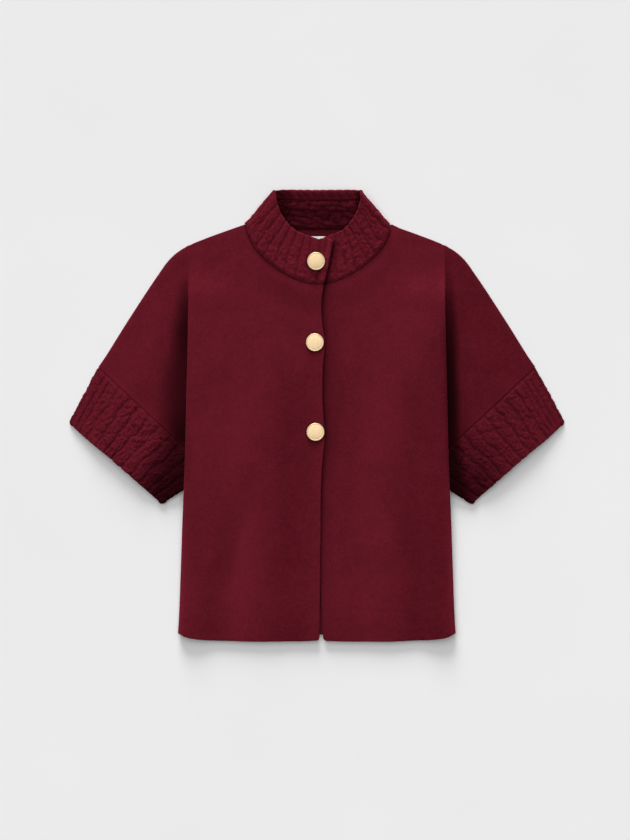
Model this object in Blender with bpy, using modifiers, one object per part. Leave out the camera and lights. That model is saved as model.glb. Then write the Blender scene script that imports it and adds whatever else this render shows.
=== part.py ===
# A short-sleeved jacket in thick felted wool, laid flat on its back.
# +Z is up, +Y points at the collar, +X is the wearer's left.  Metres.
#
# The plan shape is written in pattern units: one unit is UNIT millimetres,
# x grows to the wearer's left from XC and y grows from the collar to the hem.
# Each front and the back are cut with their half of the sleeve in one piece.
# The sleeve is swung down, so each of them has a pleat under the arm: the body
# layer runs out to the side edge, turns under, runs back in, turns again and
# runs out as the sleeve.

import math

import bmesh
import bpy
from mathutils import Matrix, Vector

# ---------------------------------------------------------------- sizes
UNIT = 1.55            # millimetres to one pattern unit
XC = 316.3             # centre line of the body
YC = 415.761            # half way between collar top and hem
COLLAR_XC = 318.0      # centre line of the collar

WOOL = 2.2             # wall of the felted wool, mm
GAP = 0.6              # air between two layers, mm
PITCH = WOOL + GAP
QUILT = 3.0            # wall of a cuff
COLLAR_WALL = 4.6      # wall of the collar, which is cut double
SEAM = 0.35            # half of the room left in a seam, pattern units

FOLD_R = PITCH / 2     # mid-wall radius of a pleat's turn
SOFT_R = 2.0           # the same where a front turns under at the side edge
APEX_Y = (258.0, 312.0)  # the pleat opens between these
UNDERARM_Y = 461.6     # where the pleat ends at the underarm point
PLEAT_DEEP = 56.2      # length of the pleat's return at the underarm, mm
PLEAT_HEM = 6.0        # the same at the hem, where it is the side seam
SPREAD = 2.0           # mesh spacing in the pleat above its apex, mm
SIDE_REF = 200.0       # parameter length of the body from centre to side

SLEEVE_FALL = (2.0, 54.0)   # the sleeve comes down to the surface over this, mm past the side
SLEEVE_PUFF = 8.0           # air in the middle of a sleeve, mm
PUFF_IN = (8.0, 62.0)       # it opens over this from the side edge and the underarm fold, mm
PUFF_OUT = (0.0, 74.0)      # and over this from the shoulder and sleeve line
BODY_FALL = (8.0, 88.0)     # the front comes down inside the pleat over this, mm
HEM_FALL = 46.0             # and over this many millimetres near the hem
CENTRE_RISE = (15.0, 45.0)  # the overlapping front comes down over this, mm
CUFF_EXTRA = 2 * (QUILT - WOOL)

# side edge of the body: a row for each height
SIDE = (  # y, distance from the centre line
    (200, 127.6), (283, 127.8), (340, 128.6), (400, 130.0),
    (460, 131.4), (520, 133.9), (580, 136.1), (604, 137.0), (624, 138.0), (642, 139.4),
)
# shoulder and sleeve line, from the neck to the cuff seam
SLEEVE_LINE = (  # y, distance from the centre line
    (228.5, 83.0), (234, 98.5), (240, 114.5), (246, 128.7), (252, 138.7),
    (258, 145.6), (264, 150.8), (272, 156.4), (282, 163.3), (294, 171.3),
    (306, 179.1), (324, 190.7), (342, 201.9), (356, 210.6),
)
CUFF_SEAM = {"outer": (218.4, 367.2), "lower": (106.0, 472.1)}
CUFF_HEM = {"outer": (247.4, 421.9), "lower": (155.0, 504.8)}

# seam between collar and body: a row for each station
NECK_FRONT = (  # distance from the collar's centre line, y
    (0.0, 284.8), (9.6, 283.9), (21.0, 280.6), (32.5, 275.2), (44.0, 267.8),
    (54.3, 259.0), (62.0, 250.2), (67.0, 242.3), (70.6, 233.0), (71.8, 225.0),
)
NECK_BACK = (  # distance from the collar's centre line, y
    (0.0, 230.6), (24.0, 230.0), (46.0, 228.4), (62.0, 226.6), (71.8, 225.0),
)
COLLAR_TOP = (  # distance from the collar's centre line, y of the front's top edge
    (0.0, 240.2), (6.5, 239.2), (12.5, 236.8), (21.8, 230.3), (28.0, 224.5),
    (33.0, 218.1), (37.4, 210.3), (40.0, 202.4), (41.2, 196.8),
)
COLLAR_FOLD = {  # side folds of the collar: x and y at the shoulder, and at the top edge
    "right": {"base": (245.0, 222.6), "top": (273.3, 192.2)},
    "left": {"base": (388.6, 222.6), "top": (360.0, 192.2)},
}
COLLAR_BACK_TOP = 191.3

RIGHT_EDGE = (  # front edge of the wearer's right front, y, x
    (285.4, 323.6), (291, 322.6), (300, 321.7), (311, 321.5), (321, 321.9),
    (331, 323.6), (341, 324.8), (351, 323.7), (362, 322.3), (378, 321.5),
    (396, 321.6), (412, 322.5), (424, 323.9), (433, 324.9), (443, 323.6),
    (455, 322.0), (476, 320.9), (510, 320.0), (560, 319.3), (610, 319.1),
    (636, 319.3),
)
LEFT_EDGE = (  # front edge of the wearer's left front, y, x
    (285.4, 309.0), (330, 309.0), (440, 309.2), (500, 312.6), (560, 317.0),
    (610, 321.0), (636, 322.6),
)
HEM_FRONT = (  # distance from the centre line, y
    (0, 640.2), (40, 640.6), (70, 640.5), (84, 640.1), (105, 639.3), (118, 638.5),
    (126, 637.4), (132, 635.8),
)
HEM_SIDE_Y = 633.4
HEM_BACK_Y = {"centre": 634.6, "side": 630.5}

# height of the mid-wall of each front at the neck seam, mm
NECK_RISE = {  # distance from the collar's centre line, height
    "right": ((-14, 11.6), (0, 11.6), (14, 11.2), (35, 9.8), (55, 8.3), (66, 6.4), (73, 4.6)),
    "left": ((-9, 6.1), (0, 6.1), (14, 6.4), (35, 7.3), (55, 7.4), (66, 6.2), (73, 4.6)),
}
NECK_FALL = 34.0
# mid-wall height of the collar's front half, at its seam and at its top edge
COLLAR_HEIGHT = {  # share of the way from the front end to the side fold, at the seam, at the top
    "right": ((0, 11.6, 16.4), (0.25, 11.0, 16.8), (0.5, 9.6, 18.6), (0.75, 8.6, 22.0), (1, 8.2, 25.5)),
    "left": ((0, 6.1, 10.2), (0.32, 6.7, 10.9), (0.55, 7.6, 15.4), (0.8, 8.2, 21.2), (1, 8.2, 25.5)),
}
BACK_PROP = {"centre": 24.5, "fold": 18.0}  # mid-wall height of the collar's back half at its top edge
# height of the mid-wall at the side edge below the underarm point
SIDE_HEIGHT = ((461.6, 17.9), (500.0, 17.9), (566.0, 10.7), (642.0, 10.7))  # y, height

FOLDS = {  # soft folds that run down each front to the hem
    # crest x at the top and at the hem, y where it starts and is full, height there and at the hem in mm, half width in mm
    "right": ((259.0, 262.0, 330.0, 450.0, 4.4, 4.8, 37.0),),
    "left": ((384.0, 390.0, 320.0, 440.0, 4.4, 4.8, 37.0),),
}

BUTTON_AT = ((316.4, 262.4), (314.9, 342.8), (315.5, 432.1))  # x, y
BUTTON_D = 28.4

BURGUNDY = (0.103, 0.0085, 0.0175, 1.0)
BURGUNDY_QUILT = (0.098, 0.0080, 0.0170, 1.0)
GOLD = (0.86, 0.62, 0.30, 1.0)
WHITE = (0.80, 0.79, 0.77, 1.0)

MM = 0.001


# ---------------------------------------------------------------- helpers
def smooth(t):
    t = max(0.0, min(1.0, t))
    return t * t * (3 - 2 * t)


def table(rows, at, column=1):
    """Straight interpolation in a table whose first column is ordered."""
    if at <= rows[0][0]:
        return rows[0][column]
    for low, high in zip(rows, rows[1:]):
        if at <= high[0]:
            f = (at - low[0]) / (high[0] - low[0])
            return low[column] + (high[column] - low[column]) * f
    return rows[-1][column]


def eased(rows, at, column=1):
    """The same with level ends to each step."""
    if at <= rows[0][0]:
        return rows[0][column]
    for low, high in zip(rows, rows[1:]):
        if at <= high[0]:
            f = smooth((at - low[0]) / (high[0] - low[0]))
            return low[column] + (high[column] - low[column]) * f
    return rows[-1][column]


def world(x, y, z):
    """Plan point in pattern units and height in mm, to metres."""
    return Vector(((x - XC) * UNIT, (YC - y) * UNIT, z)) * MM


# ---------------------------------------------------------------- the pleat
def side_mm(y):
    return table(SIDE, y) * UNIT


def turn(y):
    """How far the pleat has turned, 0 to pi."""
    return math.pi * smooth((y - APEX_Y[0]) / (APEX_Y[1] - APEX_Y[0]))


def pleat_length(y):
    if y <= UNDERARM_Y:
        return PLEAT_DEEP * max(0.0, (y - APEX_Y[1]) / (UNDERARM_Y - APEX_Y[1]))
    f = min(1.0, (y - UNDERARM_Y) / (HEM_SIDE_Y - UNDERARM_Y))
    return PLEAT_DEEP + (PLEAT_HEM - PLEAT_DEEP) * f


def outer_radius(is_front):
    return SOFT_R if is_front else FOLD_R


def inner_radius(y, is_front):
    """Radius of the second turn, wider on a front where a cuff comes between."""
    extra = CUFF_EXTRA * smooth((y - 402.0) / 38.0) if is_front else 0.0
    return FOLD_R + extra / 2


def start_mm(y, is_front):
    """Where the flat body layer ends and its turn begins."""
    return side_mm(y) - outer_radius(is_front) - WOOL / 2


def spread(y):
    return SPREAD * (1 - turn(y) / math.pi)


def path(c, y, is_front):
    """(outward, down) along the pleat for parameter c from 0 to 3."""
    phi, length = turn(y), pleat_length(y)
    r1, r2 = outer_radius(is_front), inner_radius(y, is_front)
    out, down = r1 * math.sin(min(c, 1) * phi), r1 * (1 - math.cos(min(c, 1) * phi))
    if c > 1:
        f = min(c, 2) - 1
        out, down = out + f * length * math.cos(phi), down + f * length * math.sin(phi)
    if c > 2:
        psi = phi * (3 - min(c, 3))
        out += r2 * (math.sin(phi) - math.sin(psi))
        down += r2 * (math.cos(psi) - math.cos(phi))
    return out + c * spread(y), down


def lift(a_mm, y):
    """Height of the sleeve's underside over the surface."""
    drop = path(3, y, False)[1]
    low, high = SLEEVE_FALL
    return drop * (1 - smooth((a_mm - side_mm(y) - low) / (high - low)))


def distance_to(line, a, y):
    """Least distance in mm from a plan point to a line of (distance from the centre line, y) points."""
    least = 1e9
    for (a0, y0), (a1, y1) in zip(line, line[1:]):
        da, dy = a1 - a0, y1 - y0
        f = max(0.0, min(1.0, ((a - a0) * da + (y - y0) * dy) / (da * da + dy * dy)))
        least = min(least, math.hypot(a - a0 - f * da, y - y0 - f * dy))
    return least * UNIT


def puff(a_mm, y):
    """Height of the air inside the sleeve and cuff."""
    if a_mm <= side_mm(y):
        return 0.0
    a = a_mm / UNIT
    outer = [(d, h) for h, d in SLEEVE_LINE] + [CUFF_SEAM["outer"], CUFF_HEM["outer"]]
    inner = [(d, h) for h, d in SIDE[:4]] + [(131.6, 488.0), CUFF_HEM["lower"]]
    near, far = PUFF_IN
    rise = smooth((distance_to(inner, a, y) - near) / (far - near))
    near, far = PUFF_OUT
    return SLEEVE_PUFF * rise * smooth((distance_to(outer, a, y) - near) / (far - near))


def back_sleeve_z(a_mm, y):
    return WOOL / 2 + lift(a_mm, y)


def front_sleeve_z(a_mm, y):
    return back_sleeve_z(a_mm, y) + PITCH + puff(a_mm, y)


def front_edge_z(y):
    """Mid-wall height of a front where its pleat starts."""
    if y <= UNDERARM_Y:
        out, down = path(3, y, True)
        return front_sleeve_z(start_mm(y, True) + out, y) + down
    return eased(SIDE_HEIGHT, y)


def neck_distance(x, y):
    """About how far a point is from the neck seam, pattern units."""
    dx, dy = abs(x - COLLAR_XC) / 72.4, max(0.0, y - 223.4) / 61.3
    return (max(1e-6, dx**1.8 + dy**1.8) ** (1 / 1.8) - 1) * 66.0


def fold_rise(x, y, side):
    """How far the soft folds lift a front."""
    rise = 0.0
    for x_top, x_hem, y_start, y_full, h_full, h_hem, reach in FOLDS[side]:
        crest = x_top + (x_hem - x_top) * max(0.0, min(1.0, (y - y_start) / (640.0 - y_start)))
        height = h_full + (h_hem - h_full) * max(0.0, (y - y_full) / (640.0 - y_full))
        t = (x - crest) * UNIT / reach
        rise += height * smooth((y - y_start) / (y_full - y_start)) * max(0.0, 1 - t * t) ** 2
    return rise


def front_z(a_mm, y, side):
    """Mid-wall height of a front's body layer."""
    sign = -1 if side == "right" else 1
    x = XC + sign * a_mm / UNIT
    base = WOOL / 2 + PITCH
    z = base
    if side == "right":
        low, high = CENTRE_RISE
        z += PITCH * (1 - smooth((a_mm - low) / (high - low))) * (1 - 0.75 * smooth((y - 592) / 46))
    full = start_mm(y, True) - pleat_length(y) - BODY_FALL[0]
    fall = BODY_FALL[1] - BODY_FALL[0]
    fall += (HEM_FALL - fall) * smooth((y - 486.0) / 80.0)
    side_rise = max(0.0, front_edge_z(y) - base) * smooth((a_mm - full) / fall + 1)
    z += (side_rise**3 + fold_rise(x, y, side) ** 3) ** (1 / 3)
    near = 1 - smooth(neck_distance(x, y) / NECK_FALL)
    if near > 0:
        z += max(0.0, table(NECK_RISE[side], abs(x - COLLAR_XC) * (1 if sign * (x - COLLAR_XC) > 0 else -1)) - z) * near
    return z


def front_point(c, y, side):
    sign = -1 if side == "right" else 1
    a0 = start_mm(y, True)
    if c <= 0:
        a = a0 * (1 + c / SIDE_REF)
        z = front_z(a, y, side)
    elif c <= 3:
        out, down = path(c, y, True)
        a, z = a0 + out, front_edge_z(y) - down
    else:
        a = a0 + path(3, y, True)[0] + (c - 3)
        z = front_sleeve_z(a, y)
    return world(XC + sign * a / UNIT, y, z)


def back_point(cc, y):
    """cc is 0 at the centre and counts both ways."""
    sign, c = (-1 if cc < 0 else 1), abs(cc) - SIDE_REF
    a0 = start_mm(y, False)
    if c <= 0:
        a, z = a0 * (1 + c / SIDE_REF), WOOL / 2
    elif c <= 3:
        out, up = path(c, y, False)
        a, z = a0 + out, WOOL / 2 + up
    else:
        a = a0 + path(3, y, False)[0] + (c - 3)
        z = back_sleeve_z(a, y)
    return world(XC + sign * a / UNIT, y, z)


def parameter(a, y, is_front, sleeve=None):
    """c of a plan point a pattern units from the centre line, on the body or the sleeve layer."""
    a_mm, a0 = a * UNIT, start_mm(y, is_front)
    end = a0 + path(3, y, is_front)[0]
    if sleeve is None:
        sleeve = a_mm > end
        if not sleeve and a_mm > a0:
            return 3 * (a_mm - a0) / (end - a0)
    return 3 + a_mm - end if sleeve else (a_mm / a0 - 1) * SIDE_REF


# ---------------------------------------------------------------- outlines
def sleeve_outline(is_front, shift):
    """The half outline from the underarm point round the sleeve to the shoulder, as (c, y)."""
    lower, outer = CUFF_SEAM["lower"], CUFF_SEAM["outer"]
    # the seam line, moved in from the cuff by the room in the seam
    along = Vector((outer[0] - lower[0], outer[1] - lower[1])).normalized()
    inward = Vector((-abs(along.y), -abs(along.x))) * SEAM
    points = [(2.0, UNDERARM_Y), (3.0, UNDERARM_Y)]
    for f in (0.0, 0.2, 0.4, 0.6, 0.8, 1.0):
        a = lower[0] + (outer[0] - lower[0]) * f + inward.x
        y = lower[1] + (outer[1] - lower[1]) * f + inward.y
        points.append((parameter(a, y, is_front, True), y))
    for y, a in reversed(SLEEVE_LINE):
        points.append((parameter(a - shift, y, is_front), y))
    return points


def neck_points(rows, sign, grow):
    """Neck seam stations moved out from the collar by the room in the seam."""
    made = []
    for i, (d, y) in enumerate(rows):
        before, after = rows[max(0, i - 1)], rows[min(len(rows) - 1, i + 1)]
        along = Vector((after[0] - before[0], after[1] - before[1])).normalized()
        normal = Vector((-along.y, along.x))
        if normal.y < 0:
            normal = -normal
        made.append((COLLAR_XC + sign * (d + normal.x * grow), y + normal.y * grow))
    return made


def front_outline(side):
    """Outline of a front as (c, y), from the neck end of the shoulder round by the neck, front edge, hem and sleeve."""
    sign = -1 if side == "right" else 1
    edge = RIGHT_EDGE if side == "right" else LEFT_EDGE

    def c_of(x, y):
        return parameter(sign * (x - XC), y, True, False)

    points = []
    edge_top = edge[0]
    for x, y in reversed(neck_points(NECK_FRONT, sign, SEAM)):
        points.append((c_of(x, y), y))
    # the seam runs on past the centre line to the front edge
    mirrored = [p for p in neck_points(NECK_FRONT, -sign, SEAM)[1:] if sign * (p[0] - edge_top[1]) > 0.8]
    points += [(c_of(x, y), y) for x, y in mirrored]
    points += [(c_of(x, y), y) for y, x in edge]
    corner_x = edge[-1][1]
    points += [(c_of(corner_x + sign * 0.7, 638.4), 638.4), (c_of(corner_x + sign * 2.2, 639.6), 639.6)]
    points += [(c_of(XC + sign * a, y), y) for a, y in HEM_FRONT if a > 9]
    points += [(0.0, HEM_SIDE_Y), (1.0, HEM_SIDE_Y - 0.3), (2.0, HEM_SIDE_Y - 1.0)]
    return points + sleeve_outline(True, 0.0)


def back_outline():
    """Outline of the back as (cc, y), once round."""
    half = []
    for x, y in neck_points(NECK_BACK, 1, SEAM):
        half.append((SIDE_REF + parameter(x - XC, y, False, False), y))
    half += [(SIDE_REF + c, y) for c, y in reversed(sleeve_outline(False, 0.3))]
    side = HEM_BACK_Y["side"]
    half += [(SIDE_REF + c, side) for c in (2.0, 1.0, 0.0)]
    half.append((SIDE_REF * 0.86, side + 1.6))
    half.append((SIDE_REF * 0.62, side + 3.2))
    half.append((0.0, HEM_BACK_Y["centre"]))
    other = []
    for x, y in neck_points(NECK_BACK, -1, SEAM)[1:]:
        other.append((-(SIDE_REF + parameter(XC - x, y, False, False)), y))
    other += [(-cc, y) for cc, y in half[len(NECK_BACK):-1]]
    return half + list(reversed(other))


# ---------------------------------------------------------------- building
def collection(name):
    made = bpy.data.collections.new(name)
    bpy.context.scene.collection.children.link(made)
    return made


def material(name, colour, roughness, metallic=0.0, sheen=0.0):
    made = bpy.data.materials.new(name)
    made.use_nodes = True
    shader = made.node_tree.nodes["Principled BSDF"]
    shader.inputs["Base Color"].default_value = colour
    shader.inputs["Roughness"].default_value = roughness
    shader.inputs["Metallic"].default_value = metallic
    shader.inputs["Sheen Weight"].default_value = sheen
    made.diffuse_color = colour
    return made


def add_object(name, mesh, finish, where):
    obj = bpy.data.objects.new(name, mesh)
    obj.data.materials.append(finish)
    where.objects.link(obj)
    return obj


def thicken(obj, wall):
    solid = obj.modifiers.new("wall", "SOLIDIFY")
    solid.thickness = wall * MM
    solid.offset = 0.0
    solid.use_even_offset = False
    solid.use_rim = True
    return obj


def cut_and_fold(name, outline, place, columns, rows, wall, finish, where):
    """Cuts a flat outline by lines of both kinds, folds it with place(c, y), and gives it its wall."""
    bm = bmesh.new()
    bm.faces.new([bm.verts.new((c, -y, 0)) for c, y in outline])
    for c in columns:
        bmesh.ops.bisect_plane(bm, geom=bm.verts[:] + bm.edges[:] + bm.faces[:], dist=1e-3,
                               plane_co=(c, 0, 0), plane_no=(1, 0, 0))
    for y in rows:
        bmesh.ops.bisect_plane(bm, geom=bm.verts[:] + bm.edges[:] + bm.faces[:], dist=1e-3,
                               plane_co=(0, -y, 0), plane_no=(0, 1, 0))
    bmesh.ops.remove_doubles(bm, verts=bm.verts[:], dist=0.02)
    bmesh.ops.triangulate(bm, faces=[f for f in bm.faces if len(f.verts) > 4])
    for v in bm.verts:
        v.co = place(v.co.x, -v.co.y)
    bmesh.ops.recalc_face_normals(bm, faces=bm.faces[:])
    mesh = bpy.data.meshes.new(name)
    bm.to_mesh(mesh)
    bm.free()
    mesh.shade_smooth()
    return thicken(add_object(name, mesh, finish, where), wall)


def loft(name, rings, wall, finish, where, closed):
    """A strip of quads between rings of points, given its wall. closed joins each ring's ends."""
    bm = bmesh.new()
    grid = [[bm.verts.new(p) for p in ring] for ring in rings]
    count = len(rings[0])
    for low, high in zip(grid, grid[1:]):
        for i in range(count if closed else count - 1):
            j = (i + 1) % count
            bm.faces.new((low[i], low[j], high[j], high[i]))
    bmesh.ops.recalc_face_normals(bm, faces=bm.faces[:])
    mesh = bpy.data.meshes.new(name)
    bm.to_mesh(mesh)
    bm.free()
    mesh.shade_smooth()
    return thicken(add_object(name, mesh, finish, where), wall)


# ---------------------------------------------------------------- collar
def collar_rings(levels=5):
    """Rings from the seam up to the top edge. Each starts at the right front's end, goes round the back, and ends at the left front's."""
    rings = []
    for k in range(levels):
        v = k / (levels - 1)
        ring = []

        def height(side, f):
            return table(COLLAR_HEIGHT[side], f, 1) * (1 - v) + table(COLLAR_HEIGHT[side], f, 2) * v

        def prop(f):
            """Height of the back half, f from 0 at the centre to 1 at the fold."""
            top_z = BACK_PROP["centre"] + (BACK_PROP["fold"] - BACK_PROP["centre"]) * f * f
            return COLLAR_WALL / 2 + (top_z - COLLAR_WALL / 2) * v

        def front(side):
            """Front half on one side, from the front end to the fold."""
            sign = -1 if side == "right" else 1
            made = []
            if side == "right":
                # the end edge of the overlap leans with the height
                for d, low_y, high_y in ((-13.4 + 7.4 * (1 - v), 284.4, 241.4), (-6.0 + 3.0 * (1 - v), 284.6, 239.0)):
                    made.append((0.0, d, low_y - SEAM * 1.4 + (high_y - low_y) * v))
            else:
                made.append((0.0, -9.0, 284.2 - SEAM * 1.4 + (240.0 - 284.2) * v))
            steps = 9
            for i in range(steps):
                f = i / (steps - 1)
                d0 = table(tuple((j / 9, r[0]) for j, r in enumerate(NECK_FRONT)), f * 0.96)
                y0 = table(NECK_FRONT, d0)
                d1 = table(tuple((j / 8, r[0]) for j, r in enumerate(COLLAR_TOP)), f * 0.97)
                y1 = table(COLLAR_TOP, d1)
                # the seam end is drawn in by the room in the seam
                pull = Vector((-d0 / 72.0, -(y0 - 223.0) / 61.0)).normalized() * SEAM * 1.4
                made.append((f, d0 + pull.x + (d1 - d0 - pull.x) * v, y0 + pull.y + (y1 - y0 - pull.y) * v))
            return [(COLLAR_XC + sign * d, y, height(side, f)) for f, d, y in made]

        def turn_round(side):
            sign = -1 if side == "right" else 1
            back_z = prop(1)
            r = (height(side, 1) - back_z) / 2
            base, top = (Vector(COLLAR_FOLD[side][end]) for end in ("base", "top"))
            fold = (top - base).normalized()
            out = Vector((-fold.y, fold.x))          # away from the collar
            if out.x * sign < 0:
                out = -out
            at = base + (top - base) * v
            at -= out * (r * 0.9 + COLLAR_WALL / 2) / UNIT
            made = []
            for i in range(1, 6):
                a = math.pi * i / 6
                p = at + out * (r * 0.9 * math.sin(a) / UNIT)
                made.append((p.x, p.y, back_z + r * (1 + math.cos(a))))
            return made

        def back_half():
            made = []
            steps = 9
            for i in range(steps):
                f = -1 + 2 * i / (steps - 1)
                d0 = 66.5 * f
                y0 = table(NECK_BACK, abs(d0)) - SEAM * 1.4
                low_x = COLLAR_FOLD["right" if f < 0 else "left"]["base"][0]
                high_x = COLLAR_FOLD["right" if f < 0 else "left"]["top"][0]
                x0 = XC + (low_x - XC) * abs(f) * 0.91
                x1 = XC + (high_x - XC) * abs(f) * 0.86
                y1 = COLLAR_BACK_TOP + 0.7 * (1 - abs(f))
                made.append((x0 + (x1 - x0) * v, y0 + (y1 - y0) * v, prop(abs(f))))
            return made

        ring += front("right")
        ring += turn_round("right")
        ring += back_half()
        ring += list(reversed(turn_round("left")))
        ring += list(reversed(front("left")))
        rings.append([world(*p) for p in ring])
    return rings


# ---------------------------------------------------------------- cuffs
def cuff_rings(sign, levels=4):
    """Rings from the sleeve seam to the cuff's hem."""
    r = (QUILT + GAP) / 2
    inset = r + QUILT / 2
    rings = []
    outer0, lower0 = Vector(CUFF_SEAM["outer"]), Vector(CUFF_SEAM["lower"])
    outer1, lower1 = Vector(CUFF_HEM["outer"]), Vector(CUFF_HEM["lower"])
    gap = (outer1 - outer0 + lower1 - lower0).normalized() * SEAM * 1.7
    outer0, lower0 = outer0 + gap, lower0 + gap

    def away(fold, inside):
        n = Vector((-fold.y, fold.x)).normalized()
        return -n if n.dot(inside) > 0 else n

    out_n = away(outer1 - outer0, lower0 - outer0)
    low_n = away(lower1 - lower0, outer0 - lower0)
    for k in range(levels):
        v = k / (levels - 1)
        # the wall's turns are inset along the seam and the hem, so that both keep their lines
        outer, lower = outer0 + (outer1 - outer0) * v, lower0 + (lower1 - lower0) * v
        across = (lower - outer).normalized()
        outer = outer + across * inset / UNIT / abs(across.dot(out_n))
        lower = lower - across * inset / UNIT / abs(across.dot(low_n))
        steps = 13
        flat = [outer + (lower - outer) * i / (steps - 1) for i in range(steps)]
        ring = []

        def add(p, over):
            z = lift(p.x * UNIT, p.y) + QUILT / 2 + over
            ring.append(world(XC + sign * p.x, p.y, z))

        for p in flat:
            add(p, 2 * r + puff(p.x * UNIT, p.y))
        for i in range(1, 4):
            a = math.pi * i / 4
            add(lower + low_n * (r * math.sin(a) / UNIT), r * (1 + math.cos(a)))
        for p in reversed(flat):
            add(p, 0.0)
        for i in range(1, 4):
            a = math.pi * i / 4
            add(outer + out_n * (r * math.sin(a) / UNIT), r * (1 - math.cos(a)))
        rings.append(ring)
    return rings


# ---------------------------------------------------------------- trims
def neck_tape(finish, where):
    """The band that covers the back neck seam inside."""
    rings = []
    for grow in (0.9, 5.1):
        ring = []
        for i in range(13):
            d = -60 + 10.0 * i
            y = table(NECK_BACK, abs(d)) + grow
            ring.append(world(COLLAR_XC + d, y, WOOL + 0.4 + 0.4))
        rings.append(ring)
    return loft("neck_tape", rings, 0.8, finish, where, False)


def neck_label(finish, where):
    """A plain woven tab below the tape."""
    bpy.ops.mesh.primitive_cube_add(size=1.0)
    obj = bpy.context.object
    obj.name = obj.data.name = "neck_label"
    obj.data.transform(Matrix.Diagonal((38.0 * MM, 20.0 * MM, 0.6 * MM, 1.0)))
    obj.location = world(COLLAR_XC, 236.4 + 10.0 / UNIT, WOOL + 0.4 + 0.3)
    for c in obj.users_collection:
        c.objects.unlink(obj)
    where.objects.link(obj)
    obj.data.materials.append(finish)
    return obj


def button(name, x, y, z, tilt, finish, where):
    """A domed cap with a rolled rim on a short post: a profile turned round its axis."""
    r = BUTTON_D / 2
    profile = [(0.0, 5.2), (0.30 * r, 5.08), (0.58 * r, 4.72), (0.80 * r, 4.16), (0.93 * r, 3.5),
               (0.985 * r, 2.9), (r, 2.3), (0.985 * r, 1.75), (0.93 * r, 1.4), (0.50 * r, 1.2),
               (0.36 * r, 1.2), (0.36 * r, 0.0), (0.0, 0.0)]
    bm = bmesh.new()
    verts = [bm.verts.new((px * MM, 0, pz * MM)) for px, pz in profile]
    for a, b in zip(verts, verts[1:]):
        bm.edges.new((a, b))
    mesh = bpy.data.meshes.new(name)
    bm.to_mesh(mesh)
    bm.free()
    obj = add_object(name, mesh, finish, where)
    turned = obj.modifiers.new("turned", "SCREW")
    turned.axis = "Z"
    turned.steps = turned.render_steps = 28
    turned.use_merge_vertices = True
    turned.merge_threshold = 0.00005
    turned.use_smooth_shade = True
    obj.location = world(x, y, z)
    obj.rotation_euler = (tilt, 0, 0)
    return obj


def build():
    for obj in list(bpy.data.objects):
        bpy.data.objects.remove(obj, do_unlink=True)
    where = collection("short_sleeved_jacket")
    wool = {n: material("wool_" + n, BURGUNDY, 0.95, sheen=0.3) for n in ("back", "front_right", "front_left", "neck_tape")}
    quilt = {n: material("quilt_" + n, BURGUNDY_QUILT, 0.95, sheen=0.3) for n in ("collar", "cuff_right", "cuff_left")}
    white = material("woven_label", WHITE, 0.8)

    fold = [i / 4 for i in range(1, 12)]
    sleeve = [3 + d for d in (0.0, 10, 26, 44, 64, 88, 114, 140)]
    body = [-SIDE_REF + d for d in (0.0, 14, 30, 46, 66, 88, 108, 128, 146, 163, 178, 190, 197, 200)]
    rows = [232.5, 240, 247, 255, 264, 273, 283, 292, 301, 312, 324, 340, 360, 380, 402, 421, 440, 451,
            UNDERARM_Y, 476, 491, 506, 520, 536, 552, 568, 592, 614]
    for side, name in (("right", "front_right"), ("left", "front_left")):
        cut_and_fold(name, front_outline(side), lambda c, y, s=side: front_point(c, y, s),
                     body + fold + sleeve, rows, WOOL, wool[name], where)
    half = [0.6 * SIDE_REF, 0.85 * SIDE_REF, SIDE_REF] + [SIDE_REF + c for c in fold + sleeve]
    rows_back = [240, 247, 256, 264, 273, 283, 292, 301, 312, 340, 380, 421, 440, UNDERARM_Y, 500, 560, 610]
    cut_and_fold("back", back_outline(), back_point, [0.0] + half + [-c for c in half], rows_back,
                 WOOL, wool["back"], where)

    loft("collar", collar_rings(), COLLAR_WALL, quilt["collar"], where, False)
    loft("cuff_right", cuff_rings(-1), QUILT, quilt["cuff_right"], where, True)
    loft("cuff_left", cuff_rings(1), QUILT, quilt["cuff_left"], where, True)
    neck_tape(wool["neck_tape"], where)
    neck_label(white, where)

    top = COLLAR_WALL / 2 + (11.6 + 16.4) / 2 + 0.45
    lie = WOOL / 2 + (WOOL / 2 + 2 * PITCH) + 0.35
    for i, ((x, y), z, tilt) in enumerate(zip(BUTTON_AT, (top, lie, lie), (math.radians(3.6), 0.0, 0.0))):
        button(f"button_{i + 1}", x, y, z, tilt, material(f"gold_{i + 1}", GOLD, 0.28, 1.0), where)


build()
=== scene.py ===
# Looks of the short-sleeved jacket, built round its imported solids.
#
# The garment's surfaces are worked out again here from the same sizes as the
# solids, much finer, and every piece of cloth is a closed wall with soft rims.
# Plan points are in pattern units, as in the part: x grows to the wearer's left
# from XC, y grows from the collar to the hem.  Heights are in millimetres.

import math

import bmesh
import bpy
import numpy as np
from mathutils import Matrix, Vector

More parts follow.
